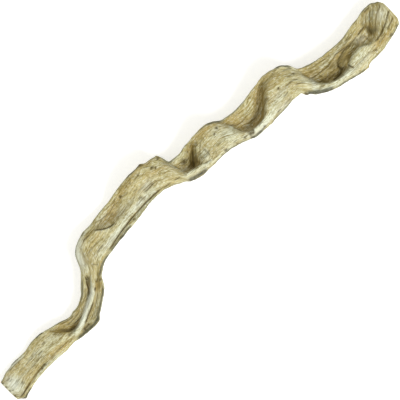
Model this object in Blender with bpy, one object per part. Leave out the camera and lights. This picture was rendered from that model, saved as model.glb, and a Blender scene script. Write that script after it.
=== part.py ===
"""Liana vine: one dried, flattened and wavy piece of vine stem.

The stem lies on its low spots with its long axis along X. Its thick rim runs
along the -Y side (the right side when looking along +X) and its thin edge
along the +Y side. Lines over the upper face give the height of every hollow,
crest and ridge. A smooth skin is drawn through them, and the underside follows
that skin at the thickness of the wood.
"""
import math

import bmesh
import bpy
import numpy as np

MM = 0.001

# Edges of the stem seen from above: x, y and height of the upper face, in mm.
RIGHT_EDGE = [
    (-293, -13, 8), (-285, -18, 6.5), (-278, -16.3, 6.2), (-262, -13, 4.5), (-245, -12, 4.5),
    (-225, -12.3, 7), (-208, -12.5, 9), (-195, -15, 8), (-184, -16, 7), (-172, -15, 8),
    (-164, -10.5, 11), (-150, -1, 15), (-141, 7.5, 17), (-137, 14, 19), (-133, 19, 20),
    (-120, 26.3, 15), (-105, 29, 11.5), (-80, 31.3, 9.5), (-60, 33.2, 13), (-40, 36, 20),
    (-22, 35.3, 23), (-10, 31.5, 22), (0, 26, 17), (10, 20, 12), (22, 16.7, 10),
    (34, 16.3, 15), (48, 16, 21), (62, 15.3, 23), (72, 12.7, 22), (82, 9.3, 19),
    (92, 5.2, 15), (104, 4, 14), (118, 4, 19), (135, 4.3, 24), (152, 5.8, 27),
    (159, 4.3, 27), (161.5, -1, 23), (170, -9, 18), (180, -15, 14), (192, -19.3, 12),
    (210, -23.7, 10), (222, -26.3, 10), (231, -27, 10), (234, -25, 11), (250, -24.5, 11),
    (268, -21.5, 11), (280, -19, 12), (287, -16.5, 12), (291, -11, 13),
]
LEFT_EDGE = [
    (-293, 13.5, 8), (-285, 16.5, 7.5), (-268, 18.6, 5.5), (-252, 18.2, 5.5), (-238, 20.6, 8),
    (-225, 19.6, 12), (-211, 16.5, 15), (-200, 13.8, 14), (-190, 10.6, 12), (-180, 11.6, 12),
    (-170, 15, 14), (-160, 23.2, 17), (-150, 32.5, 19), (-145, 38.5, 20), (-141.5, 46, 21),
    (-138, 53, 21), (-132, 58.5, 20), (-123, 62.8, 19), (-112, 65.2, 17), (-103, 65.3, 15.5),
    (-98, 66.3, 13), (-80, 68.6, 9), (-62, 70.7, 19), (-45, 73.5, 28), (-20, 73.6, 35),
    (-16, 70.2, 35), (-8, 69.4, 35), (-1, 67, 33), (3, 60, 29), (5.5, 53, 25),
    (14, 52, 22), (28, 54, 24), (45, 55, 31), (60, 54.2, 35), (69, 50.5, 34),
    (74.5, 45.8, 28), (80, 44.2, 23), (92, 42.5, 21), (106, 42.6, 23), (122, 45.3, 28),
    (140, 47.2, 33), (152, 45.5, 36), (163, 42, 37), (169, 36, 35), (172.5, 29.5, 31),
    (175, 25.7, 26), (182, 22.5, 23), (196, 18.2, 23), (212, 16.2, 22), (230, 14.7, 21),
    (242, 16.8, 20), (258, 19.4, 20), (272, 21, 20), (281, 20.3, 19), (287, 17.5, 18),
    (291, 11, 17),
]

# Middle of the stem's outline on the lines' x and y: the object's own origin.
ORIGIN_X = -1.0
ORIGIN_Y = 23.29

# Lines over the upper face, from the saw cut at -X to the one at +X, in mm.
FORM_LINES = [
    # Flat first length: its middle, the shoulder of its rim and the roll-over at its far end.
    [(-293, 0, 10), (-272, 2, 7.5), (-255, 4, 6.3), (-238, 6, 8.5), (-227, 8, 11.5), (-219, 8, 14)],
    [(-289, -12, 9), (-270, -9, 7), (-252, -6, 6.2), (-236, -5.5, 8.5), (-219, -6.5, 12)],
    [(-217, 15, 15), (-211, 9, 15), (-206, 3.5, 14), (-203, -1, 13)],
    # First hollow and the slit that leads out of it.
    [(-205, 11, 12), (-201, 5, 8), (-197, 0, 5.5), (-188, 0.5, 7), (-178, 2.8, 10),
     (-170, 7.5, 12), (-161, 11.8, 12.5), (-155, 15.5, 12.5), (-151, 20, 13), (-148, 26, 14.5)],
    # Strand on the left of the slit.
    [(-196, 10, 13), (-186, 8, 12.5), (-176, 10, 14), (-166, 15.5, 17), (-157, 21.5, 19),
     (-150.5, 28.5, 20.5), (-144, 38, 22)],
    # Narrow ridge and, on its right, the foot that it shares with the side wing.
    [(-215, -7.5, 13), (-200, -6, 14), (-190, -4.3, 16), (-180, -1.5, 18.5), (-170, 3, 21),
     (-160, 7.2, 23), (-152, 12.5, 24), (-146, 20, 24.5), (-140, 30, 24.5)],
    [(-203, -10, 10.5), (-190, -9.5, 10), (-180, -6.8, 12), (-170, -2.5, 15), (-160, 1, 17.5),
     (-152, 5.5, 19), (-145, 12, 20)],
    # Broad face: its middle and the shoulder of its rim.
    [(-133, 45, 24), (-120, 45, 21), (-105, 44, 17.5), (-87, 41.5, 14), (-68, 44, 16.5),
     (-50, 48, 23), (-30, 52, 30), (-12, 50, 34)],
    [(-136, 23, 23), (-120, 30, 19.5), (-100, 33.5, 15), (-80, 37, 12.5), (-60, 39.3, 17),
     (-40, 40, 24), (-20, 38.5, 28), (-8, 35.5, 28.5), (2, 32.5, 27.5)],
    # Pocket beside the thin edge: the crest below it, its floor and the lip above it.
    [(-122, 57, 21.5), (-106, 57.5, 18), (-97, 51.5, 16.5), (-89, 47.8, 14.5), (-79, 46.5, 13.5)],
    [(-98, 59.5, 10), (-90, 56, 4.5), (-83, 54.5, 3.2), (-75, 55, 5), (-66, 57.5, 12.5)],
    [(-97, 64, 13), (-83, 65, 8.5), (-72, 66.5, 11), (-62, 68, 18.5)],
    # Crest of the broad face and the foot of its drop.
    [(-45, 68, 29), (-22, 68, 36), (-8, 63, 37), (-1.5, 57, 36.5), (2, 49, 35), (4.5, 41, 33),
     (4, 35, 30)],
    [(8.5, 51, 24), (8.5, 45, 22.5), (9.5, 39, 19.5), (12, 34, 14)],
    [(14, 48, 21.5), (15, 41, 18)],
    [(23, 50, 22), (21, 43, 18), (18, 37, 14.5)],
    # Second hollow, the crest of the rim in front of it and the shoulder below that.
    [(16, 32.3, 9.5), (21, 31.5, 7.5), (24.5, 36, 8.5), (28, 41, 10.5), (33, 46, 15), (37, 48.5, 21)],
    [(28.5, 30, 15), (30.5, 36, 17.5), (34, 41, 20.5), (38, 45, 24.5)],
    [(9, 30.5, 27), (20, 28, 26), (30, 25.3, 26), (40, 22, 27)],
    [(2, 28, 25), (9, 24, 22.5), (16, 22, 21), (26, 19.5, 20.5), (36, 18, 23)],
    # Second face and its crest, with the foot of the drop behind it.
    [(39, 39, 25), (46, 42, 29), (55, 45, 33), (64, 48, 36)],
    [(36, 29, 21), (45, 30, 27), (56, 32, 31), (68, 34, 34)],
    [(50, 20, 28), (62, 19, 29.5), (74, 16, 29), (84, 12.5, 27.5)],
    [(66, 50, 36), (71, 43, 36), (75, 35, 35), (79, 26, 32.5), (82, 20, 30), (88, 16, 27)],
    [(77, 44, 24.5), (79.5, 38, 23), (83, 31, 21), (85.5, 25, 17), (88.5, 20, 13)],
    # Third hollow: its slope, its floor, and the edge of the rim and third face beyond.
    [(90, 36, 20.5), (104, 35, 20), (117, 39, 23)],
    [(93, 27, 16.5), (104, 26, 15), (113, 30, 17)],
    [(93, 18.5, 10), (97, 17, 8.5), (105, 16.2, 7.5), (113, 19, 8.5), (120, 26, 12), (128, 35.5, 18.5),
     (136, 42, 26)],
    [(95, 13.7, 26), (105, 12.7, 25.5), (112.5, 14.5, 26), (121, 21.5, 28), (130, 31.5, 31),
     (139, 39, 34)],
    [(95, 9, 24), (110, 8, 24.5), (130, 9, 28), (155, 9, 31.5), (163, 4, 29.5), (172, -5, 24),
     (182, -12, 20), (194, -16, 18), (208, -19, 16)],
    # Third face, its crest and the foot of the drop behind it.
    [(130, 18, 30), (145, 24, 34), (158, 28, 38)],
    [(148, 40, 37), (160, 37, 38.5), (167, 32, 38.5), (170, 24, 37.5), (172, 14, 35), (174.5, 5, 32),
     (178.5, -3.5, 28.5), (185, -9, 26), (195, -12.7, 24), (204, -15, 21.5), (212, -14, 19)],
    [(175.5, 23.5, 23.5), (177.5, 16, 18.5), (180, 9, 13.5), (183.5, 1, 9.5), (189, -4.5, 7.5),
     (197, -8.5, 7), (204, -10.5, 7)],
    # Fourth hollow: its long left wall, the step in it and its floor.
    [(186, 14, 19), (200, 11.5, 18), (216, 11, 18), (232, 10.5, 17), (246, 12, 17.5), (258, 14, 18)],
    [(186, 6.5, 14), (200, 5.5, 13.5), (215, 7, 14), (230, 7.3, 13.5), (244, 6, 12), (256, 7, 12)],
    [(188, 1.5, 9.5), (198, 0, 9), (204, -3, 7.5)],
    # Tongue of wood in that hollow and the narrow floor round it.
    [(211.5, -1.5, 13), (220, 2, 14), (230, 3.5, 14), (236.5, 1.5, 13.5)],
    [(211, -6, 12.5), (218, -6, 13.5), (226, -3, 14.5), (234, -1.5, 14)],
    [(209, 3, 8), (217, 6, 10.5), (229, 6.8, 11.5), (240, 4, 10)],
    [(206.5, 0, 8), (206.5, -5, 7), (209, -9.5, 7), (214, -11, 9)],
    # Pale swelling in front of the tongue, and the last hollow.
    [(219, -11.5, 18), (225, -7, 20), (231, -5, 21), (237, -4.7, 21), (243, -7.3, 20),
     (248.5, -10.7, 18.5), (255, -12, 17.5)],
    [(220, -20, 15), (232, -19, 16), (246, -19, 16)],
    [(240, -1, 10), (247, -3.5, 7.5), (254, -5, 6.5), (256, 0, 7), (249, 2, 8)],
    # Fanned last length, up to the saw cut.
    [(260.5, 8, 18), (263, 2, 17), (263, -6, 15.5)],
    [(266, 12, 19.5), (278, 11, 20.5), (291, 4, 20)],
    [(268, -9, 16), (280, -4, 17.5), (291, 0, 18.5)],
    [(262, -17, 15.5), (276, -14.5, 16), (288, -10, 16)],
]
LINE_STEP = 2.5
SKIN_ROUNDING = 0.9
SKIN_EASE = 0.15

# Thickness of the wood at the rim, in the middle and at the thin edge, and at the first end.
RIM_THICKNESS = 7.6
MIDDLE_THICKNESS = 4.8
LEFT_THICKNESS = 4.4
END_THICKNESS = 7.2
RIM_WIDTH = 10.0
RIM_ROUND = 2.8
LEFT_ROUND = 2.0

# Slant of the cross-sections in the steep part of the stem: where it is, how long and how much.
SLANT_AT = -148.0
SLANT_LENGTH = 24.0
SLANT = 16.0

# Lengthwise waves of the wood surface: ridges across the width, height and slow drift.
GRAIN_WAVES = [(3.0, 0.3, 0.9, 0.013), (6.5, 0.2, 2.1, 0.021)]

# Three low swellings of the underside that the stem rests on, each with a small flat spot.
FEET = [(-255, 1), (-83, 54.5), (199, -6)]
FOOT_FLAT = 5.5
FOOT_SINK = 0.4
FOOT_REACH = 12.0
FOOT_RISE = 3.5
# Height added to the lines, and the least height of the underside away from the flat spots.
LIFT = 2.6
CLEARANCE = 1.0

# Anything lower than this belongs to a flat spot.
FLAT_BELOW = 0.03

LENGTH_STEPS = 380
WIDTH_STEPS = 24
TARGET_TRIANGLES = 9400
WOOD_COLOUR = (0.62, 0.52, 0.33, 1.0)


def smooth_curve(points, at):
    """Values of a smooth curve that never swings past its points. The first column is `at`."""
    points = np.asarray(points, float)
    x = points[:, 0]
    rise = np.diff(points, axis=0) / np.diff(x)[:, None]
    slope = np.empty_like(points)
    slope[0] = rise[0]
    slope[-1] = rise[-1]
    before = np.diff(x)[:-1, None]
    after = np.diff(x)[1:, None]
    one_way = rise[:-1] * rise[1:] > 0
    first = np.where(one_way, rise[:-1], 1.0)
    second = np.where(one_way, rise[1:], 1.0)
    blend = 3 * (before + after) / ((2 * after + before) / first + (after + 2 * before) / second)
    slope[1:-1] = np.where(one_way, blend, 0.0)
    at = np.clip(np.asarray(at, float), x[0], x[-1])
    k = np.clip(np.searchsorted(x, at, side="right") - 1, 0, len(x) - 2)
    span = x[k + 1] - x[k]
    t = ((at - x[k]) / span)[..., None]
    span = span[..., None]
    return ((2 * t ** 3 - 3 * t ** 2 + 1) * points[k] + (t ** 3 - 2 * t ** 2 + t) * span * slope[k]
            + (3 * t ** 2 - 2 * t ** 3) * points[k + 1] + (t ** 3 - t ** 2) * span * slope[k + 1])


def evenly_along(points, step):
    """Points at even steps along a smooth line through the given ones."""
    points = np.asarray(points, float)
    gaps = np.linalg.norm(np.diff(points[:, :2], axis=0), axis=1)
    run = np.concatenate([[0.0], np.cumsum(gaps)])
    table = np.column_stack([run, points])
    count = max(2, int(round(run[-1] / step)) + 1)
    return smooth_curve(table, np.linspace(0.0, run[-1], count))[:, 1:]


class Skin:
    """Height of the upper face anywhere over the plan of the stem."""

    def __init__(self):
        lines = [evenly_along(line, LINE_STEP) for line in [RIGHT_EDGE, LEFT_EDGE] + FORM_LINES]
        knots = np.vstack(lines)
        self.centres = knots[:, :2]
        count = len(knots)
        matrix = np.zeros((count + 3, count + 3))
        matrix[:count, :count] = self.kernel(self.centres) - SKIN_EASE * np.eye(count)
        matrix[:count, count:] = self.plane(self.centres)
        matrix[count:, :count] = self.plane(self.centres).T
        answer = np.linalg.solve(matrix, np.concatenate([knots[:, 2], np.zeros(3)]))
        self.weights = answer[:count]
        self.tilt = answer[count:]

    def kernel(self, spots):
        gap = spots[:, None, :] - self.centres[None, :, :]
        return np.sqrt((gap ** 2).sum(axis=2) + SKIN_ROUNDING ** 2)

    def plane(self, spots):
        return np.column_stack([np.ones(len(spots)), spots / 100.0])

    def __call__(self, x, y):
        spots = np.column_stack([np.ravel(x), np.ravel(y)])
        parts = [self.kernel(block) @ self.weights + self.plane(block) @ self.tilt
                 for block in np.array_split(spots, 1 + len(spots) // 4000)]
        return np.concatenate(parts).reshape(np.shape(x))


def ease(t):
    t = np.clip(t, 0.0, 1.0)
    return t * t * (3 - 2 * t)


def soft_minimum(a, b, blend):
    """The smaller of two values, with a rounded change from one to the other."""
    share = np.clip(0.5 + 0.5 * (b - a) / blend, 0.0, 1.0)
    return b * (1 - share) + a * share - blend * share * (1 - share)


def plan(lengths, widths):
    """Plan position of the grid: along the stem, and across it from the rim to the thin edge."""
    along, across = np.meshgrid(lengths, widths, indexing="ij")
    lean = SLANT * np.exp(-((along - SLANT_AT) / SLANT_LENGTH) ** 2)
    first, last = RIGHT_EDGE[0][0], RIGHT_EDGE[-1][0]
    x_right = np.clip(along + 0.5 * lean, first, last)
    x_left = np.clip(along - 0.5 * lean, first, last)
    y_right = smooth_curve(RIGHT_EDGE, x_right)[..., 1]
    y_left = smooth_curve(LEFT_EDGE, x_left)[..., 1]
    x = x_right + (x_left - x_right) * across
    y = y_right + (y_left - y_right) * across
    wide = np.hypot(x_left - x_right, y_left - y_right)
    return x, y, wide


def thickness(x, across, wide):
    from_rim = across * wide
    rim = 1 - ease(from_rim / RIM_WIDTH)
    body = MIDDLE_THICKNESS + (LEFT_THICKNESS - MIDDLE_THICKNESS) * across
    body = body + (END_THICKNESS - body) * (1 - ease((x + 250) / 60))
    return body + np.maximum(RIM_THICKNESS - body, 0) * rim


def grain(x, across):
    """Low lengthwise ridges that run with the fibres."""
    height = np.zeros_like(x)
    for ridges, size, phase, drift in GRAIN_WAVES:
        swell = 0.65 + 0.35 * np.sin(drift * 1.7 * x + phase * 3)
        height += size * swell * np.sin(2 * math.pi * ridges * across + phase + 1.4 * np.sin(drift * x + phase))
    return height


def edge_samples(wide, count):
    """Fractions across the width, close together where the two edges are rounded."""
    turn = np.array([0.0, 0.04, 0.15, 0.32, 0.6, 1.0])
    right = turn * RIM_ROUND / wide
    left = 1 - turn[::-1] * LEFT_ROUND / wide
    middle = np.linspace(right[-1], left[0], count)[1:-1]
    return np.concatenate([right, middle, left])


def underside(x, y, thick, height_map):
    """Lower face: the upper one set back by the thickness, as a ball rolled below it leaves it."""
    grid_x, grid_y, heights = height_map
    step = grid_x[1] - grid_x[0]

    def sample(px, py):
        fx = np.clip((px - grid_x[0]) / step, 0, len(grid_x) - 1.001)
        fy = np.clip((py - grid_y[0]) / step, 0, len(grid_y) - 1.001)
        ix, iy = fx.astype(int), fy.astype(int)
        tx, ty = fx - ix, fy - iy
        return ((1 - tx) * (1 - ty) * heights[ix, iy] + tx * (1 - ty) * heights[ix + 1, iy]
                + (1 - tx) * ty * heights[ix, iy + 1] + tx * ty * heights[ix + 1, iy + 1])

    low = sample(x, y) - thick
    for ring in (0.25, 0.5, 0.7, 0.85, 0.95, 1.0):
        for turn in range(16):
            angle = 2 * math.pi * (turn + 0.5 * (ring > 0.6)) / 16
            shift = ring * thick
            reach = np.sqrt(np.maximum(thick ** 2 - shift ** 2, 0))
            low = np.minimum(low, sample(x + shift * math.cos(angle), y + shift * math.sin(angle)) - reach)
    return low


def stem_surfaces(length_steps, width_steps):
    skin = Skin()
    first, last = RIGHT_EDGE[0][0], RIGHT_EDGE[-1][0]
    lengths = np.linspace(first, last, length_steps + 1)
    widths = edge_samples(36.0, width_steps)
    x, y, wide = plan(lengths, widths)
    across = np.broadcast_to(widths, x.shape)
    thick = thickness(x, across, wide)

    grid_x = np.arange(first - 10.0, last + 11.0, 1.0)
    grid_y = np.arange(-40.0, 86.0, 1.0)
    map_x, map_y = np.meshgrid(grid_x, grid_y, indexing="ij")
    height_map = (grid_x, grid_y, skin(map_x, map_y))

    top = skin(x, y) + grain(x, across) * ease(np.minimum(across, 1 - across) * wide / 3)
    low = underside(x, y, thick, height_map)
    low = np.minimum(low, top - 0.8 * thick)
    top = top + LIFT
    low = -soft_minimum(-low - LIFT, -CLEARANCE, 1.0)
    for foot_x, foot_y in FEET:
        far = np.hypot(x - foot_x, y - foot_y)
        bowl = FOOT_SINK * ((far / FOOT_FLAT) ** 2 - 1) + FOOT_RISE * (far / FOOT_REACH) ** 4
        low = soft_minimum(low, bowl, 1.2)
    from_right = across * wide / RIM_ROUND
    from_left = (1 - across) * wide / LEFT_ROUND
    nearest = np.clip(np.minimum(from_right, from_left), 0, 1)
    close = 1 - np.sqrt(1 - (1 - nearest) ** 2)
    middle = 0.5 * (top + low)
    half = 0.5 * (top - low) * (1 - close)
    return x, y, middle + half, np.maximum(middle - half, 0.0)


def stem_mesh(name):
    x, y, top, low = stem_surfaces(LENGTH_STEPS, WIDTH_STEPS)
    x = x - ORIGIN_X
    y = y - ORIGIN_Y
    rows, columns = x.shape
    mesh = bpy.data.meshes.new(name)
    frame = bmesh.new()
    upper = [[frame.verts.new((x[i, j] * MM, y[i, j] * MM, top[i, j] * MM)) for j in range(columns)]
             for i in range(rows)]
    lower = [[upper[i][j] if j in (0, columns - 1) else
              frame.verts.new((x[i, j] * MM, y[i, j] * MM, low[i, j] * MM)) for j in range(columns)]
             for i in range(rows)]
    for i in range(rows - 1):
        for j in range(columns - 1):
            frame.faces.new((upper[i][j], upper[i + 1][j], upper[i + 1][j + 1], upper[i][j + 1]))
            frame.faces.new((lower[i][j + 1], lower[i + 1][j + 1], lower[i + 1][j], lower[i][j]))
    for i, flip in ((0, False), (rows - 1, True)):
        for j in range(columns - 1):
            loop = [upper[i][j], upper[i][j + 1], lower[i][j + 1], lower[i][j]]
            corners = list(dict.fromkeys(loop))
            frame.faces.new(corners[::-1] if flip else corners)
    bmesh.ops.triangulate(frame, faces=frame.faces[:])
    bmesh.ops.recalc_face_normals(frame, faces=frame.faces[:])
    frame.to_mesh(mesh)
    frame.free()
    return mesh


def thinned(mesh):
    """The same form with fewer, better placed triangles."""
    fine = bpy.data.objects.new("fine_stem", mesh)
    bpy.context.scene.collection.objects.link(fine)
    reduce = fine.modifiers.new("reduce", "DECIMATE")
    reduce.ratio = TARGET_TRIANGLES / len(mesh.polygons)
    graph = bpy.context.evaluated_depsgraph_get()
    result = bpy.data.meshes.new_from_object(fine.evaluated_get(graph))
    bpy.data.objects.remove(fine, do_unlink=True)
    for vertex in result.vertices:
        if vertex.co.z < FLAT_BELOW * MM:
            vertex.co.z = 0.0
    return result


def wood_material():
    material = bpy.data.materials.new("wood")
    material.use_nodes = True
    shader = material.node_tree.nodes["Principled BSDF"]
    shader.inputs["Base Color"].default_value = WOOD_COLOUR
    shader.inputs["Roughness"].default_value = 0.75
    shader.inputs["Metallic"].default_value = 0.0
    return material


def build():
    for old in list(bpy.data.objects):
        bpy.data.objects.remove(old, do_unlink=True)
    mesh = thinned(stem_mesh("fine_stem"))
    mesh.name = "liana_vine"
    mesh.materials.clear()
    mesh.materials.append(wood_material())
    mesh.polygons.foreach_set("use_smooth", [True] * len(mesh.polygons))
    vine = bpy.data.objects.new("liana_vine", mesh)
    bpy.context.scene.collection.objects.link(vine)
    return vine


if __name__ == "__main__":
    build()
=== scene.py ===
"""Looks of the liana vine: its finely carved surface, bleached wood, floor, light and camera."""
import math

import bpy
import numpy as np
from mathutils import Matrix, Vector


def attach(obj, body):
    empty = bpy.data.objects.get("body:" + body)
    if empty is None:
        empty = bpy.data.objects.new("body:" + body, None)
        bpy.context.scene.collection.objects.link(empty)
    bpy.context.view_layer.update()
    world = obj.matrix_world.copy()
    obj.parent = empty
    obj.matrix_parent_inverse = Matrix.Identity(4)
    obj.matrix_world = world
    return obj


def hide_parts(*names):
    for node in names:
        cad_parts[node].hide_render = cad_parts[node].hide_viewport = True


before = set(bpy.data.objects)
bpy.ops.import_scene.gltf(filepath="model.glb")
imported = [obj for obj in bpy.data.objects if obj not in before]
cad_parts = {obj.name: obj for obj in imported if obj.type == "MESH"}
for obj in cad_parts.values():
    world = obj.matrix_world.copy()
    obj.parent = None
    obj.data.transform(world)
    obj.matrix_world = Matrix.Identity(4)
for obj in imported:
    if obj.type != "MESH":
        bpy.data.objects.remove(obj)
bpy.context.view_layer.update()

MM = 0.001

# Edges of the stem seen from above: x, y and height of the upper face, in mm.
RIGHT_EDGE = [
    (-293, -13, 8), (-285, -18, 6.5), (-278, -16.3, 6.2), (-262, -13, 4.5), (-245, -12, 4.5),
    (-225, -12.3, 7), (-208, -12.5, 9), (-195, -15, 8), (-184, -16, 7), (-172, -15, 8),
    (-164, -10.5, 11), (-150, -1, 15), (-141, 7.5, 17), (-137, 14, 19), (-133, 19, 20),
    (-120, 26.3, 15), (-105, 29, 11.5), (-80, 31.3, 9.5), (-60, 33.2, 13), (-40, 36, 20),
    (-22, 35.3, 23), (-10, 31.5, 22), (0, 26, 17), (10, 20, 12), (22, 16.7, 10),
    (34, 16.3, 15), (48, 16, 21), (62, 15.3, 23), (72, 12.7, 22), (82, 9.3, 19),
    (92, 5.2, 15), (104, 4, 14), (118, 4, 19), (135, 4.3, 24), (152, 5.8, 27),
    (159, 4.3, 27), (161.5, -1, 23), (170, -9, 18), (180, -15, 14), (192, -19.3, 12),
    (210, -23.7, 10), (222, -26.3, 10), (231, -27, 10), (234, -25, 11), (250, -24.5, 11),
    (268, -21.5, 11), (280, -19, 12), (287, -16.5, 12), (291, -11, 13),
]
LEFT_EDGE = [
    (-293, 13.5, 8), (-285, 16.5, 7.5), (-268, 18.6, 5.5), (-252, 18.2, 5.5), (-238, 20.6, 8),
    (-225, 19.6, 12), (-211, 16.5, 15), (-200, 13.8, 14), (-190, 10.6, 12), (-180, 11.6, 12),
    (-170, 15, 14), (-160, 23.2, 17), (-150, 32.5, 19), (-145, 38.5, 20), (-141.5, 46, 21),
    (-138, 53, 21), (-132, 58.5, 20), (-123, 62.8, 19), (-112, 65.2, 17), (-103, 65.3, 15.5),
    (-98, 66.3, 13), (-80, 68.6, 9), (-62, 70.7, 19), (-45, 73.5, 28), (-20, 73.6, 35),
    (-16, 70.2, 35), (-8, 69.4, 35), (-1, 67, 33), (3, 60, 29), (5.5, 53, 25),
    (14, 52, 22), (28, 54, 24), (45, 55, 31), (60, 54.2, 35), (69, 50.5, 34),
    (74.5, 45.8, 28), (80, 44.2, 23), (92, 42.5, 21), (106, 42.6, 23), (122, 45.3, 28),
    (140, 47.2, 33), (152, 45.5, 36), (163, 42, 37), (169, 36, 35), (172.5, 29.5, 31),
    (175, 25.7, 26), (182, 22.5, 23), (196, 18.2, 23), (212, 16.2, 22), (230, 14.7, 21),
    (242, 16.8, 20), (258, 19.4, 20), (272, 21, 20), (281, 20.3, 19), (287, 17.5, 18),
    (291, 11, 17),
]

# Middle of the stem's outline on the lines' x and y: the object's own origin.
ORIGIN_X = -1.0
ORIGIN_Y = 23.29

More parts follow.
